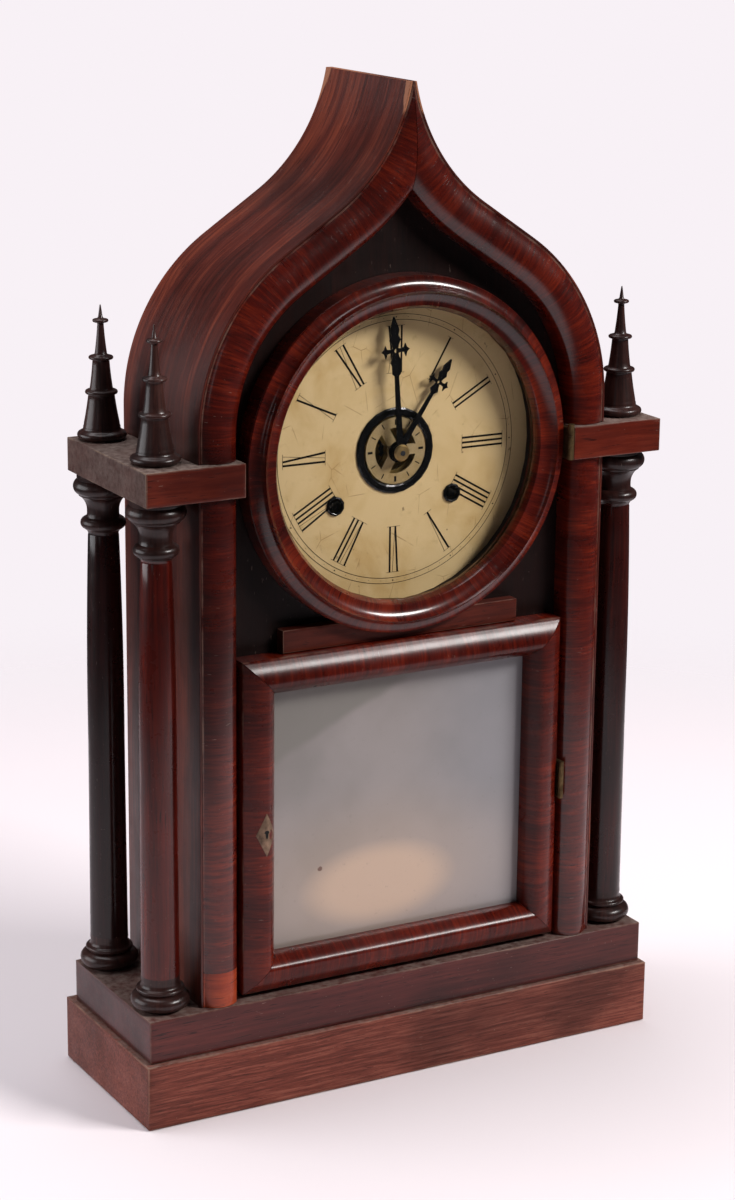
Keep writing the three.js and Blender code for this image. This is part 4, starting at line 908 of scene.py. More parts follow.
@dataclass
class OgeeOutline:
    """The arch: upright, convex shoulder, straight flank and hollow neck to the ridge."""

    half: float = 132 * MM
    spring_z: float = 398.4 * MM
    shoulder: float = 116 * MM
    turn: float = math.radians(56.2)
    flank: float = 40.5 * MM
    neck: float = 105 * MM
    ridge_half: float = 2 * MM

    @property
    def apex_z(self) -> float:
        """Height of the ridge."""
        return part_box("left_case_side")[1][2]

    def walk(self, foot_z: float, step: float = 3.5 * MM) -> list[Station]:
        """Stations from a height on the right side up to just past the ridge."""
        raw: list[tuple[float, float, float]] = []
        rises = max(1, round((self.spring_z - foot_z) / (4 * step)))
        for i in range(rises):
            raw.append((self.half, foot_z + (self.spring_z - foot_z) * i / rises, 0.0))
        centre = (self.half - self.shoulder, self.spring_z)
        count = round(self.shoulder * self.turn / step)
        for i in range(count + 1):
            a = self.turn * i / count
            raw.append((centre[0] + self.shoulder * math.cos(a), centre[1] + self.shoulder * math.sin(a), a))
        x, z, _ = raw[-1]
        x, z = x - self.flank * math.sin(self.turn), z + self.flank * math.cos(self.turn)
        neck = (x + self.neck * math.cos(self.turn), z + self.neck * math.sin(self.turn))
        end = math.acos((neck[0] - self.ridge_half) / self.neck)
        count = round(self.neck * (self.turn - end) / step)
        for i in range(count + 1):
            a = self.turn + (end - self.turn) * i / count
            raw.append((neck[0] - self.neck * math.cos(a), neck[1] - self.neck * math.sin(a), a))
        x, z, a = raw[-1]
        raw.append((x - 4 * MM * math.sin(a), z + 4 * MM * math.cos(a), a))
        stations, run = [], 0.0
        for i, (x, z, a) in enumerate(raw):
            if i:
                run += math.hypot(x - raw[i - 1][0], z - raw[i - 1][1])
            stations.append(Station(x, z, math.cos(a), math.sin(a), run, i / (len(raw) - 2)))
        return stations


class Rib(NamedTuple):
    """A point of a swept section: inset from the outline, depth, wear."""

    inset: float
    y: float
    wear: float = 0.0


def girths(ribs: Sequence[Rib]) -> list[float]:
    """How far round the section each of its points is."""
    run, result = 0.0, [0.0]
    for before, rib in zip(ribs, ribs[1:]):
        run += math.hypot(rib.inset - before.inset, rib.y - before.y)
        result.append(run)
    return result


def sweep(outline: OgeeOutline, foot_z: float, section: Callable[[Station], list[Rib]],
          across: bool, side: int, shift: float = 0.0) -> Skin:
    """Sweeps a section up one side of the outline.

    Args:
        outline: the case outline.
        foot_z: where the sweep starts.
        section: gives the section's points at a station.
        across: True if the grain runs across the sweep, as on cross-banded veneer.
        side: 1 for the right, -1 for the left.
        shift: moves the grain.

    Returns:
        The skin, open past the ridge; mitre it next.
    """
    skin = Skin()
    rings = []
    for station in outline.walk(foot_z):
        ribs, ring = section(station), []
        for rib, girth in zip(ribs, girths(ribs)):
            place = (side * (station.x - rib.inset * station.nx), rib.y, station.z - rib.inset * station.nz)
            run = (girth, station.run) if across else (station.run, girth)
            ring.append(skin.point(place, (run[0] + shift, run[1] + shift, 0.0), rib.wear))
        rings.append(ring)
    skin.loft(rings)
    return skin


def mitre(thing: bpy.types.Object, side: int, apex_z: float, gap: float = 0.15 * MM) -> None:
    """Trims a swept piece at the ridge: on the middle plane and flat on top."""
    def cut(bm: bmesh.types.BMesh) -> None:
        """Cuts both planes and closes the cuts."""
        for place, normal in (((side * gap, 0, 0), (-side, 0, 0)), ((0, 0, apex_z), (0, 0, 1))):
            done = bmesh.ops.bisect_plane(
                bm, geom=bm.verts[:] + bm.edges[:] + bm.faces[:], plane_co=place, plane_no=normal,
                clear_outer=True, dist=1e-7)
            rim = [e for e in done["geom_cut"] if isinstance(e, bmesh.types.BMEdge) and e.is_boundary]
            if rim:
                bmesh.ops.contextual_create(bm, geom=rim)
        bmesh.ops.recalc_face_normals(bm, faces=bm.faces)
    edit(thing, cut)


@dataclass
class CaseShell:
    """The two bent sides, with their veneer and worn front lip, and the backboard."""

    outline: OgeeOutline = field(default_factory=OgeeOutline)
    wall: float = 9 * MM
    veneer: float = 1.2 * MM
    wall_front: float = -42 * MM
    rabbet: float = 5 * MM
    rabbet_depth: float = 6.3 * MM
    chip: float = 22 * MM

    def section(self, station: Station) -> list[Rib]:
        """The wall's section, veneered side first. Both ends of the ridge are chipped to raw wood."""
        front, back = (corner[1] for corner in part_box("left_case_side"))
        chip = max(0.0, min(1.0, (station.z - self.outline.apex_z + self.chip) / self.chip))
        skin = [Rib(self.veneer, front, 0.5 + 2 * chip), Rib(0.3 * MM, front, 0.5 + 2 * chip),
                Rib(0.0, front + 0.3 * MM, 0.5 + 2.4 * chip), Rib(0.0, front + 1.5 * MM, 2.4 * chip),
                Rib(0.0, front + 4 * MM, 1.6 * chip), Rib(0.0, front + 8 * MM, 0.0)]
        skin += [Rib(0.0, front + (back - front) * t, 0.0) for t in (0.2, 0.4, 0.6, 0.8)]
        skin += [Rib(0.0, back - 9 * MM, 0.0), Rib(0.0, back - 4 * MM, 2 * chip),
                 Rib(0.0, back - 0.4 * MM, 1.0 + 2 * chip), Rib(0.4 * MM, back, 1.0 + 2 * chip)]
        inside = [Rib(self.wall - self.rabbet, back), Rib(self.wall - self.rabbet, back - self.rabbet_depth),
                  Rib(self.wall, back - self.rabbet_depth), Rib(self.wall, self.wall_front),
                  Rib(self.veneer, self.wall_front)]
        return skin + inside

    def build(self) -> None:
        """Makes both sides."""
        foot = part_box("left_case_side")[0][2]
        for name, side, shift in (("left", -1, 0.0), ("right", 1, 0.7)):
            skin = sweep(self.outline, foot, self.section, False, side, shift)
            thing = skin.build(f"{name}_side_veneered", [SIDE_VENEER])
            mitre(thing, side, self.outline.apex_z)
            crease(thing, 32)
            seat(thing, "case", [f"{name}_case_side"], SIDE_VENEER.slot)
        dress(SOFTWOOD, "backboard")


@dataclass
class Mouldings:
    """Cross-banded ogee and stile mouldings with a rolled crown."""

    outline: OgeeOutline = field(default_factory=OgeeOutline)
    outer: float = 1.5 * MM
    width: float = 23.5 * MM
    apex_width: float = 28 * MM
    edge_y: float = -47 * MM
    outer_y: float = -49.1 * MM
    crown: float = 7 * MM
    back_y: float = -36.8 * MM
    ledge_y: float = -42.3 * MM
    step: float = 9.3 * MM
    crown_points: int = 26
    bolt_reach: float = 8 * MM
    patch_height: float = 21 * MM
    patch_joint: float = 0.25 * MM
    end_band: float = 1.5 * MM

    def section(self, share: float) -> list[Rib]:
        """The moulding's section where it is some share of the way up the arch."""
        width = self.width + (self.apex_width - self.width) * share
        ribs = [Rib(self.outer, self.ledge_y)]
        for i in range(self.crown_points + 1):
            t = i / self.crown_points
            rise = self.crown * math.sin(math.pi * t) ** 0.55 if 0 < t < 1 else 0.0
            edge = self.outer_y + (self.edge_y - self.outer_y) * min(1.0, t * 4)
            y = self.outer_y if i == 0 else min(edge, self.edge_y - rise)
            ribs.append(Rib(self.outer + (width - self.outer) * t, y, 1.0 if i < 2 else 0.0))
        return ribs + [Rib(width, self.back_y), Rib(self.step, self.back_y), Rib(self.step, self.ledge_y)]

    def arch(self, name: str, side: int, shift: float) -> None:
        """One half of the arch moulding."""
        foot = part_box(f"{name}_ogee_moulding")[0][2]
        skin = sweep(self.outline, foot, lambda s: self.section(max(0.0, s.share)), True, side, shift)
        thing = skin.build(f"{name}_arch_veneered", [CROSS_VENEER])
        mitre(thing, side, self.outline.apex_z)
        crease(thing, 40)
        seat(thing, "case", [f"{name}_ogee_moulding"], CROSS_VENEER.slot)

    def stile(self, name: str, side: int, shift: float) -> None:
        """The upright below the capital block; the left one has a patch at its foot."""
        low, high = (corner[2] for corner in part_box(f"{name}_stile_moulding"))
        patch_top = low + self.patch_height
        heights = (low, low + self.end_band, patch_top, patch_top + self.patch_joint,
                   high - self.end_band, high)
        skin, rings, ribs = Skin(), [], self.section(0.0)
        for z in heights:
            rings.append([skin.point((side * (self.outline.half - rib.inset), rib.y, z),
                                     (girth + shift, z + shift, 0), rib.wear)
                          for rib, girth in zip(ribs, girths(ribs))])
        patched = int(name == "left")
        skin.loft(rings, (patched, patched, 0, 0, 0), tones=(0, 0, -3, 0, 0))
        thing = skin.build(f"{name}_stile_veneered", [CROSS_VENEER, PATCH_VENEER], 40)
        if name == "left":
            low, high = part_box("door_lock_bolt")
            carve(thing, (low[0] - self.bolt_reach, low[1] - PLAY, low[2] - PLAY),
                  (low[0] - PLAY, high[1] + PLAY, high[2] + PLAY))
        seat(thing, "case", [f"{name}_stile_moulding"], CROSS_VENEER.slot)

    def build(self) -> None:
        """Makes all four lengths."""
        for name, side, shift in (("left", -1, 0.3), ("right", 1, 1.1)):
            self.arch(name, side, shift)
            self.stile(name, side, shift + 0.2)


@dataclass
class Plinths:
    """The stepped base."""

    rounding: float = 0.5 * MM
    rim: float = 2.5 * MM

    def step(self, node: str, finish: Wood, shift: float) -> None:
        """One step, a block with eased edges."""
        low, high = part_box(node)
        outline = [(low[0], low[1]), (high[0], low[1]), (high[0], high[1]), (low[0], high[1])]
        skin = prism(outline, low[2], high[2], Axis.UP, self.rounding, self.rim, shift)
        thing = skin.build(f"{node}_veneered", [finish], 25)
        seat(thing, "case", [node], finish.slot)

    def build(self) -> None:
        """Makes both steps."""
        self.step("lower_plinth", PLINTH_LOWER, 0.0)
        self.step("upper_plinth", PLINTH_UPPER, 0.5)


@dataclass
class CapitalBlocks:
    """L-shaped blocks over the columns, red on the front and dull elsewhere."""

    rounding: float = 0.55 * MM
    rim: float = 1.8 * MM
    shelf_x: float = 132.3 * MM
    shelf_y: float = -49.4 * MM
    lap_x: float = 122.7 * MM
    lap_y: float = -36.8 * MM

    def build(self) -> None:
        """Makes both blocks."""
        low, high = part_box("right_capital_block")
        plan = [(low[0], low[1]), (high[0], low[1]), (high[0], high[1]), (self.shelf_x, high[1]),
                (self.shelf_x, self.shelf_y), (self.lap_x, self.shelf_y), (self.lap_x, self.lap_y),
                (low[0], self.lap_y)]
        for name, side in (("left", -1), ("right", 1)):
            outline = [(side * x, y) for x, y in plan]
            skin = prism(outline, low[2], high[2], Axis.UP, self.rounding, self.rim, 0.4 * side, 1)
            thing = skin.build(f"{name}_block_veneered", [BLOCK_SIDE, BLOCK_FACE], 25)
            seat(thing, "case", [f"{name}_capital_block"], BLOCK_FACE.slot)


@dataclass
class Columns:
    """Four turned columns: dark base and capital, reddish shaft; three shafts take darker copies of the shaft
    wood as painted shade.
    """

    steps: int = 64

    def profile(self, foot: float, top: float) -> list[Turn]:
        """The column's line from foot to top; slot 0 is the shaft, 1 the turned ends."""
        return turned_line([
            *turns([(0, 0), (12.8, 0), (13.4, 0.8), (13.6, 9.6, 0.85), (12.6, 10.1), (12.9, 10.7),
                    (12.9, 13.0, 0.9), (12.0, 13.4), (11.3, 17.5, -0.25), (11.2, 20)], foot, slot=1),
            *turns([(11.15, 21)], foot),
            *turns([(10.6, 160), (8.9, 36, 0.01), (9.3, 33.5, -0.3)], top, -1),
            *turns([(10.4, 32.4, -0.3), (11.2, 31.8), (11.3, 25.8, 0.6), (9.6, 25.2), (9.2, 22, -0.1),
                    (12.6, 13.4, -0.22), (13.8, 12.6), (14.0, 11.8), (14.6, 3.2, 0.62), (14.8, 2.4),
                    (14.8, 0.2), (0, 0)], top, -1, slot=1)])

    def build(self) -> None:
        """Makes the four columns."""
        # The rear and front right shafts use the darker copies: painted shade.
        shafts = {"front_left": SHAFT_RED, "front_right": SHAFT_HALF_SHADED,
                  "rear_left": SHAFT_SHADED, "rear_right": SHAFT_SHADED}
        for i, (name, shaft) in enumerate(shafts.items()):
            foot, top = (corner[2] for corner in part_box(f"{name}_column"))
            axis = upright_axis(f"{name}_column")
            skin = lathe(self.profile(foot, top), axis, Axis.UP, self.steps, shift=0.31 * i)
            thing = skin.build(f"{name}_column_turned", [shaft, EBONISED], 38)
            seat(thing, "case", [f"{name}_column"], shaft.slot)


@dataclass
class Finials:
    """Four turned finials: a socket, three cones between thin rings, and a spike."""

    steps: int = 56

    def profile(self, seat_z: float, tip: float) -> list[Turn]:
        """The finial's line from its seat to its tip."""
        return turned_line([
            *turns([(0, 0), (12.3, 0), (12.8, 0.5), (12.8, 4.4, 0.65), (11.6, 4.9), (10.6, 7.2, -0.3),
                    (10.2, 8.2), (10.1, 9.4), (7.5, 25.0, -0.02), (7.7, 25.5), (8.3, 25.7), (8.3, 28.1, 0.8),
                    (7.0, 28.4), (6.5, 29.3), (4.8, 44.8, -0.02), (5.0, 45.3), (6.2, 45.5), (6.2, 47.5, 0.8),
                    (4.2, 47.9), (3.5, 48.7), (1.8, 65.6, -0.02), (2.2, 66.1), (3.8, 66.5), (3.8, 68.3, 0.8),
                    (1.9, 68.7), (1.3, 69.5)], seat_z),
            *turns([(0.35, 0.3), (0, 0)], tip, -1)], 6)

    def build(self) -> None:
        """Makes the four finials."""
        seat_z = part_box("left_capital_block")[1][2] + 0.3 * MM
        for i, name in enumerate(("front_left", "front_right", "rear_left", "rear_right")):
            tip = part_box(f"{name}_finial")[1][2]
            axis = upright_axis(f"{name}_finial")
            skin = lathe(self.profile(seat_z, tip), axis, Axis.UP, self.steps, shift=0.17 * i)
            thing = skin.build(f"{name}_finial_turned", [EBONISED], 38)
            seat(thing, "case", [f"{name}_finial"], EBONISED.slot)


@dataclass
class Fascia:
    """The board behind the doors and the short rail on it."""

    scoop_radius: float = 103.3 * MM
    scoop_points: int = 17
    rounding: float = 0.4 * MM
    rim: float = 1.2 * MM

    def build(self) -> None:
        """Makes the rail and dresses the board."""
        dress(FASCIA, "fascia_board")
        low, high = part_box("cross_rail")
        half = high[0]
        reach = math.sqrt(self.scoop_radius ** 2 - (DIAL_CENTRE.z - high[2]) ** 2)
        swing = math.asin(reach / self.scoop_radius)
        outline = [(-half, low[2]), (half, low[2]), (half, high[2])]
        for i in range(self.scoop_points):
            a = swing * (1 - 2 * i / (self.scoop_points - 1))
            outline.append((self.scoop_radius * math.sin(a), DIAL_CENTRE.z - self.scoop_radius * math.cos(a)))
        outline.append((-half, high[2]))
        skin = prism(outline, low[1], high[1], Axis.FRONT, self.rounding, self.rim)
        seat(skin.build("cross_rail_worn", [RAIL], 25), "case", ["cross_rail"], RAIL.slot)


# ------------------------------------------------------------------ doors


@dataclass
class RoundDoor:
    """The veneered bezel ring and its glass."""

    steps: int = 200
    joints: tuple[float, ...] = (38.0, 86.0, 152.0, 205.0, 262.0, 318.0)
    tones: tuple[float, ...] = (0.3, -0.5, 0.2, -0.1, 0.5, 0.0, 0.3)

    def profile(self) -> list[Turn]:
        """The ring's section, from the back of its outer wall round over the crown."""
        return turned_line(turns([
            (88.3, -37.5), (103, -37.5), (103, -50.6), (102.6, -51.5, 0.2, 0.6), (95, -57.5, 0.42),
            (86.2, -52.6, 0.3), (84.2, -49.6), (84, -47.9), (88.3, -47.9)]), 10)

    def build(self) -> None:
        """Makes the ring and dresses the rest."""
        skin = lathe(self.profile(), DIAL_CENTRE, Axis.FRONT, self.steps, self.joints, self.tones, 0.4)
        thing = skin.build("bezel_ring_veneered", [CROSS_VENEER], 40)
        seat(thing, "bezel_door", ["bezel_ring"], CROSS_VENEER.slot)
        dress(ClearGlass(), "bezel_glass")
        dress(SOFTWOOD, "bezel_glass_bead")
        dress(HINGE_BRASS, "bezel_hinge_fixed_leaf", "bezel_hinge_moving_leaf")


@dataclass
class LowerDoor:
    """The mitred, cross-banded door frame, its clouded pane and lock."""

    half: float = 105.5 * MM
    width: float = 21 * MM
    rebate: float = 4.5 * MM
    edge_y: float = -49.5 * MM
    crown_y: float = -55.5 * MM
    crown_at: float = 13 * MM
    lip_y: float = -41.6 * MM
    inner_y: float = -47.6 * MM
    easing: float = 0.3 * MM
    stops: tuple[float, ...] = (0.0, 0.004, 0.012, 0.5, 0.988, 0.996, 1.0)
    keyhole: float = 1.6 * MM
    keyhole_rise: float = 1.2 * MM
    lock_room: float = 2 * MM

    def section(self) -> list[Rib]:
        """The frame's section from its outer edge inwards."""
        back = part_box("door_left_stile")[1][1]
        ribs = [Rib(0, back), Rib(0, self.edge_y + self.easing, 1.0),
                Rib(self.easing, self.edge_y - 0.2 * MM, 1.0)]
        rise = self.edge_y - self.crown_y
        for i in range(1, 12):
            t = i / 12
            ribs.append(Rib(self.easing + t * (self.crown_at - self.easing),
                            self.edge_y - rise * math.sin(t * math.pi / 2) ** 0.9))
        fall = self.inner_y - self.crown_y
        for i in range(13):
            t = i / 12
            ribs.append(Rib(self.crown_at + t * (self.width - self.crown_at),
                            self.crown_y + fall * (1 - math.cos(t * math.pi / 2)) ** 1.1))
        return ribs + [Rib(self.width, self.lip_y), Rib(self.width - self.rebate, self.lip_y),
                       Rib(self.width - self.rebate, back)]

    def side(self, start: Vector, end: Vector, shift: float) -> Skin:
        """One mitred side of the frame, between two outer corners."""
        along = (end - start).normalized()
        inward = Vector((-along.z, 0, along.x))
        length = (end - start).length
        skin, rings, ribs = Skin(), [], self.section()
        for stop in self.stops:
            ring = []
            for rib, girth in zip(ribs, girths(ribs)):
                reach = rib.inset + PLAY
                run = reach + stop * (length - 2 * reach)
                place = start + along * run + inward * rib.inset
                ring.append(skin.point((place.x, rib.y, place.z), (girth + shift, run + shift, 0), rib.wear))
            rings.append(ring)
        skin.loft(rings)
        return skin

    def face_y(self, inset: float) -> float:
        """Depth of the veneered surface at a distance in from the frame's edge."""
        ribs = self.section()
        for a, b in zip(ribs[2:], ribs[3:]):
            if a.inset <= inset <= b.inset:
                return a.y + (b.y - a.y) * (inset - a.inset) / (b.inset - a.inset)
        return self.crown_y

    def mortise(self, stile: bpy.types.Object) -> None:
        """Cuts the room for the lock, and the way out for its bolt, in the left stile."""
        low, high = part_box("door_lock")
        carve(stile, [c - PLAY for c in low], (high[0] + PLAY, high[1] + self.lock_room, high[2] + PLAY))
        inner, outer = low[0] + PLAY, -self.half - 1 * MM
        low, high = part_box("door_lock_bolt")
        carve(stile, (outer, low[1] - PLAY, low[2] - PLAY), (inner, high[1] + PLAY, high[2] + PLAY))

    def escutcheon(self, rows: int = 24) -> None:
        """A thin metal diamond with a keyhole, bent over the left stile's crown; the keyhole's black floor is
        painted shade.

        Args:
            rows: points along each edge of the diamond.
        """
        low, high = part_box("door_escutcheon")
        x, z = (low[0] + high[0]) / 2, (low[2] + high[2]) / 2
        wide, tall = (high[0] - low[0]) / 2, (high[2] - low[2]) / 2
        skin, rings = Skin(), []
        for k, (share, lift) in enumerate(((1.0, -0.6), (1.0, 0.15), (0.93, 0.3), (0.35, 0.3), (0.33, 0.25))):
            ring = []
            for i in range(4 * rows):
                corner, part = divmod(i, rows)
                a, b = ((1, 0), (0, 1), (-1, 0), (0, -1), (1, 0))[corner:corner + 2]
                u = (a[0] + (b[0] - a[0]) * part / rows) * wide * share
                v = (a[1] + (b[1] - a[1]) * part / rows) * tall * share
                if k > 2:
                    turn = math.atan2(v, u)
                    u, v = self.keyhole * math.cos(turn), self.keyhole * math.sin(turn) + self.keyhole_rise
                    if turn < 0:
                        u, v = u * 0.6, v * 2.2 - 1.4 * MM
                place = (x + u, self.face_y(x + u + self.half) - lift * MM, z + v)
                ring.append(skin.point(place, wear=1.0 if k < 3 else 0.0))
            rings.append(ring)
        # The keyhole's walls and floor take the black iron: painted shade for the dark hole.
        skin.loft(rings, (0, 0, 0, 1), 1)
        thing = skin.build("escutcheon_plate", [ESCUTCHEON_INLAY, BLACK_IRON], 40)
        seat(thing, "lower_door", ["door_escutcheon"], ESCUTCHEON_INLAY.slot)

    def build(self) -> None:
        """Makes the frame and dresses the pane and metalwork."""
        base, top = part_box("door_bottom_rail")[0][2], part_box("door_top_rail")[1][2]
        corners = [Vector((x * self.half, 0, z)) for x, z in ((-1, base), (1, base), (1, top), (-1, top))]
        nodes = ("door_bottom_rail", "door_right_stile", "door_top_rail", "door_left_stile")
        for i, node in enumerate(nodes):
            skin = self.side(corners[i], corners[(i + 1) % 4], 0.37 * i)
            thing = skin.build(f"{node}_veneered", [DOOR_VENEER], 40)
            if node == "door_left_stile":
                self.mortise(thing)
            seat(thing, "lower_door", [node], DOOR_VENEER.slot)
        self.escutcheon()
        dress(CloudedGlass(), "door_glass")
        dress(HINGE_BRASS, "door_hinge_fixed_leaf", "door_hinge_moving_leaf", "door_lock", "door_lock_bolt")


# ------------------------------------------------------------------ dial and movement


@dataclass
class Dial:
    """The painted dial with plain Roman numerals and a minute track."""

    inner: float = 44.9 * MM
    outer: float = 72.0 * MM
    track: float = 78.5 * MM
    ink_depth: float = 0.08 * MM
    thick: float = 1.15 * MM
    thin: float = 0.22 * MM

    serif: float = 0.6 * MM
    line: float = 0.3 * MM
    line_gap: float = 3.2 * MM
    dot: float = 0.2 * MM
    hour_dot: float = 0.45 * MM

    NUMERALS = ("XII", "I", "II", "III", "IIII", "V", "VI", "VII", "VIII", "IX", "X", "XI")
    WIDTHS = {"I": 2.9 * MM, "V": 4.4 * MM, "X": 4.6 * MM}

    def bar(self, skin: Skin, frame_of: Callable[[float, float], Vector],
            a: tuple[float, float], b: tuple[float, float], width: float) -> None:
        """Adds a stroke from a to b, given as (across, up) in the numeral's own frame."""
        half = width / 2
        corners = [(a[0] - half, a[1]), (a[0] + half, a[1]), (b[0] + half, b[1]), (b[0] - half, b[1])]
        skin.plate([frame_of(*c) for c in corners], self.ink_depth)

    def numeral(self, skin: Skin, hour: int, text: str, front_y: float) -> None:
        """Draws one numeral with its feet towards the centre."""
        out, side = clock_face(30 * hour)

        def at(across: float, up: float) -> Vector:
            """A point of the numeral's frame on the dial."""
            place = DIAL_CENTRE + side * across + out * up
            return Vector((place.x, front_y, place.z))

        total = sum(self.WIDTHS[c] for c in text)
        left = -total / 2
        low, high = self.inner, self.outer
        for letter in text:
            middle = left + self.WIDTHS[letter] / 2
            w = self.WIDTHS[letter] / 2 - 0.75 * MM
            if letter == "I":
                self.bar(skin, at, (middle, low), (middle, high), self.thick)
            elif letter == "V":
                self.bar(skin, at, (middle - w, high), (middle + 0.2 * MM, low), self.thick)
                self.bar(skin, at, (middle + w + 0.4 * MM, high), (middle + 0.5 * MM, low), self.thin)
            else:
                self.bar(skin, at, (middle - w, high), (middle + w, low), self.thick)
                self.bar(skin, at, (middle + w, high), (middle - w, low), self.thin)
            left += self.WIDTHS[letter]
        for up in (low, high):
            self.bar(skin, at, (0, up - self.thin / 2), (0, up + self.thin / 2), total + 2 * self.serif)

    def ring(self, skin: Skin, radius: float, front_y: float, steps: int = 180) -> None:
        """A thin painted circle."""
        rings, half = [], self.line / 2
        for r, y in ((radius - half, front_y + self.ink_depth), (radius - half, front_y),
                     (radius + half, front_y), (radius + half, front_y + self.ink_depth)):
            rings.append([skin.point(DIAL_CENTRE + Vector((
                r * math.cos(2 * math.pi * k / steps), y, r * math.sin(2 * math.pi * k / steps))))
                for k in range(steps)])
        for first, second in zip(rings, rings[1:] + rings[:1]):
            skin.bridge(first, second)

    def dot_tree(self) -> bpy.types.NodeTree:
        """Sixty dots round a circle, every fifth one larger."""
        tree = bpy.data.node_groups.new("minute_dots", "GeometryNodeTree")
        for name in ("Radius", "Dot", "Hour Dot", "Depth"):
            tree.interface.new_socket(name, in_out="INPUT", socket_type="NodeSocketFloat")
        tree.interface.new_socket("Geometry", in_out="OUTPUT", socket_type="NodeSocketGeometry")
        make, link = tree.nodes.new, tree.links.new
        given, result = make("NodeGroupInput"), make("NodeGroupOutput")
        circle = make("GeometryNodeMeshCircle")
        circle.inputs["Vertices"].default_value = 60
        link(given.outputs["Radius"], circle.inputs["Radius"])
        index, fifth, equal = make("GeometryNodeInputIndex"), make("ShaderNodeMath"), make("ShaderNodeMath")
        fifth.operation, equal.operation = "MODULO", "LESS_THAN"
        fifth.inputs[1].default_value, equal.inputs[1].default_value = 5.0, 0.5
        link(index.outputs[0], fifth.inputs[0])
        link(fifth.outputs[0], equal.inputs[0])
        size = make("ShaderNodeMix")
        link(equal.outputs[0], size.inputs["Factor"])
        link(given.outputs["Dot"], size.inputs[2])
        link(given.outputs["Hour Dot"], size.inputs[3])
        dot, scale = make("GeometryNodeMeshCylinder"), make("ShaderNodeCombineXYZ")
        dot.inputs["Vertices"].default_value = 10
        dot.inputs["Radius"].default_value = 1.0
        dot.inputs["Depth"].default_value = 1.0
        link(size.outputs[0], scale.inputs[0])
        link(size.outputs[0], scale.inputs[1])
        link(given.outputs["Depth"], scale.inputs[2])
        spread, real = make("GeometryNodeInstanceOnPoints"), make("GeometryNodeRealizeInstances")
        paint = make("GeometryNodeSetMaterial")
        paint.inputs["Material"].default_value = finished(NUMERAL_INK)
        link(circle.outputs["Mesh"], spread.inputs["Points"])
        link(dot.outputs["Mesh"], spread.inputs["Instance"])
        link(scale.outputs[0], spread.inputs["Scale"])
        link(spread.outputs[0], real.inputs[0])
        link(real.outputs[0], paint.inputs["Geometry"])
        link(paint.outputs[0], result.inputs[0])
        return tree

    def build(self) -> None:
        """Draws the dial's markings and dresses its metal."""
        face_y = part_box("dial_plate")[0][1]
        front = face_y - self.ink_depth - 0.02 * MM
        numerals = Skin()
        for hour, text in enumerate(self.NUMERALS):
            self.numeral(numerals, hour, text, front)
        seat(numerals.build("dial_numerals", [NUMERAL_INK]), "case", [], NUMERAL_INK.slot)
        track = Skin()
        self.ring(track, self.track, front)
        self.ring(track, self.track - self.line_gap, front)
        seat(track.build("minute_track", [NUMERAL_INK]), "case", [], NUMERAL_INK.slot)
        dots = grown("minute_dots", self.dot_tree(), NUMERAL_INK, Radius=self.track - self.line_gap / 2,
                     Dot=self.dot, Hour_Dot=self.hour_dot, Depth=self.ink_depth)
        edit(dots, lambda bm: bmesh.ops.transform(bm, verts=bm.verts, matrix=Matrix.Translation(
            (0, front + self.ink_depth / 2, DIAL_CENTRE.z)) @ Matrix.Rotation(math.pi / 2, 4, "X")))
        seat(dots, "case", [], NUMERAL_INK.slot)
        dress(DialPaint(), "dial_plate")
        dress(BLACK_PAINT, "dial_rim", "left_key_collet", "right_key_collet")


@dataclass
class Hands:
    """Fretted black hands, each with a pierced cross near its tip, and the marked alarm disc."""

    marks: int = 12
    mark_in: float = 15.0 * MM
    mark_out: float = 18.2 * MM
    mark_half: float = 0.32 * MM
    ink_depth: float = 0.05 * MM

    def alarm_marks(self) -> None:
        """Short strokes round the alarm disc, one for each hour."""
        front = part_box("alarm_disc")[0][1] - self.ink_depth
        skin = Skin()
        for i in range(self.marks):
            out, side = clock_face(360 * i / self.marks)
            half = self.mark_half * (2.2 if i % 3 == 0 else 1.0)
            spots = ((self.mark_in, -half), (self.mark_in, half),
                     (self.mark_out, half), (self.mark_out, -half))
            corners = [DIAL_CENTRE + out * up + side * across for up, across in spots]
            skin.plate([Vector((c.x, front, c.z)) for c in corners], self.ink_depth)
        seat(skin.build("alarm_marks", [NUMERAL_INK]), "alarm", [], NUMERAL_INK.slot)

    def build(self) -> None:
        """Dresses the hands, the nut and the alarm disc."""
        dress(BLACK_PAINT, "minute_hand", "hour_hand")
        dress(NUT_BRASS, "hand_nut")
        dress(ALARM_BRASS, "alarm_disc")
        self.alarm_marks()


@dataclass
class Movement:
    """The works behind the dial, and the pendulum, hammer and gong below."""

    def build(self) -> None:
        """Dresses every piece of the works."""
        dress(OLD_BRASS, "movement_front_plate", "movement_back_plate", "minute_wheel", "hour_wheel",
              "pendulum_bob")
        dress(SHADED_WHEEL_BRASS, "time_great_wheel", "strike_great_wheel")
        dress(DARK_STEEL, "centre_arbor", "time_mainspring", "strike_mainspring", "pendulum_rod", "wire_gong",
              "strike_hammer")
        dress(BLACK_IRON, "gong_base")
        dress(SOFTWOOD, "movement_seat")


# ------------------------------------------------------------------ studio


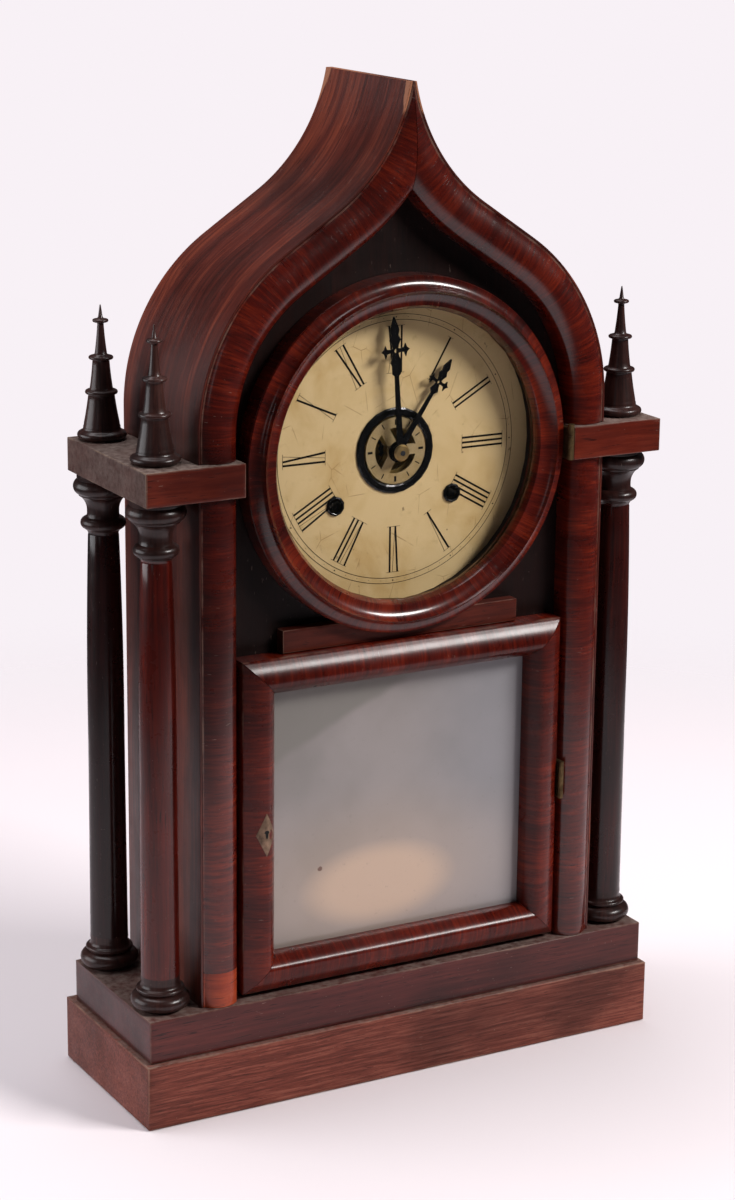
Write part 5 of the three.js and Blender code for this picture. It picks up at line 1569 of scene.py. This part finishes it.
@dataclass
class Studio:
    """Pale round floor, soft lights and the camera at the photograph's angle."""

    camera_place: Vector = field(default_factory=lambda: Vector((-0.7958, -1.4295, 0.7285)))
    yaw: float = math.radians(29.156)
    pitch: float = math.radians(15.358)
    roll: float = math.radians(0.612)
    lens: float = 86.27
    room: float = 0.05
    paper: float = 1.1
    paper_z: float = -0.0005
    paper_sides: int = 72

    def camera(self) -> None:
        """Sets the camera up."""
        d = Vector((math.sin(self.yaw) * math.cos(self.pitch), math.cos(self.yaw) * math.cos(self.pitch),
                    -math.sin(self.pitch)))
        right = Vector((math.cos(self.yaw), -math.sin(self.yaw), 0))
        up = right.cross(d)
        across = right * math.cos(self.roll) + up * math.sin(self.roll)
        high = up * math.cos(self.roll) - right * math.sin(self.roll)
        data = bpy.data.cameras.new("camera")
        data.lens, data.sensor_width, data.clip_end = self.lens, 36.0, 50.0
        thing = bpy.data.objects.new("camera", data)
        thing.matrix_world = Matrix((
            (across.x, high.x, -d.x, self.camera_place.x), (across.y, high.y, -d.y, self.camera_place.y),
            (across.z, high.z, -d.z, self.camera_place.z), (0, 0, 0, 1)))
        bpy.context.scene.collection.objects.link(thing)
        bpy.context.scene.camera = thing

    def light(self, name: str, place: Sequence[float], aim: Sequence[float], size: tuple[float, float],
              power: float, colour: Colour) -> None:
        """Adds a rectangular soft light."""
        data = bpy.data.lights.new(name, "AREA")
        data.shape, data.size, data.size_y = "RECTANGLE", size[0], size[1]
        data.energy, data.color = power, colour
        thing = bpy.data.objects.new(name, data)
        thing.location = place
        thing.rotation_euler = (Vector(aim) - Vector(place)).to_track_quat("-Z", "Y").to_euler()
        bpy.context.scene.collection.objects.link(thing)

    def floor(self) -> None:
        """A round sheet of pale paper."""
        skin = Skin()
        angles = [2 * math.pi * i / self.paper_sides for i in range(self.paper_sides)]
        skin.face([skin.point((self.paper * math.cos(a), self.paper * math.sin(a), self.paper_z))
                   for a in angles])
        skin.build("pale_floor", [Floor()])

    def world(self) -> None:
        """A dim room whose walls look pale to the camera."""
        world = bpy.data.worlds.new("pale_room")
        world.use_nodes = True
        tree = world.node_tree
        seen = tree.nodes["Background"]
        seen.inputs["Color"].default_value = (*srgb("f8f1f6"), 1.0)
        dim = tree.nodes.new("ShaderNodeBackground")
        dim.inputs["Color"].default_value = (*srgb("ece8f2"), 1.0)
        dim.inputs["Strength"].default_value = self.room
        ray, mix = tree.nodes.new("ShaderNodeLightPath"), tree.nodes.new("ShaderNodeMixShader")
        tree.links.new(ray.outputs["Is Camera Ray"], mix.inputs[0])
        tree.links.new(dim.outputs[0], mix.inputs[1])
        tree.links.new(seen.outputs[0], mix.inputs[2])
        tree.links.new(mix.outputs[0], tree.nodes["World Output"].inputs["Surface"])
        bpy.context.scene.world = world
        bpy.context.scene.view_settings.view_transform = "Standard"

    def build(self) -> None:
        """Sets the whole studio."""
        self.camera()
        self.floor()
        self.world()
        self.light("key", (1.35, -1.45, 1.75), (0, 0, 0.35), (1.0, 0.45), 68, (1.0, 0.97, 0.95))
        self.light("top", (-0.2, 0.5, 2.3), (0, 0.1, 0.0), (1.6, 1.6), 34, (1.0, 0.98, 1.0))
        self.light("back_left", (-1.9, 0.8, 0.7), (0, 0, 0.35), (1.8, 1.2), 30, (0.97, 0.97, 1.0))
        self.light("front_left", (-1.8, -1.2, 0.9), (0, 0, 0.3), (0.3, 0.9), 0.7, (0.97, 0.97, 1.0))


def main() -> None:
    """Builds every sub-assembly in order."""
    logging.basicConfig(level=logging.INFO, format="%(message)s")
    for part in (Plinths(), CaseShell(), Mouldings(), CapitalBlocks(), Columns(), Finials(), Fascia(),
                 RoundDoor(), LowerDoor(), Dial(), Hands(), Movement(), Studio()):
        LOG.info("building %s", type(part).__name__)
        part.build()


if __name__ == "__main__":
    main()
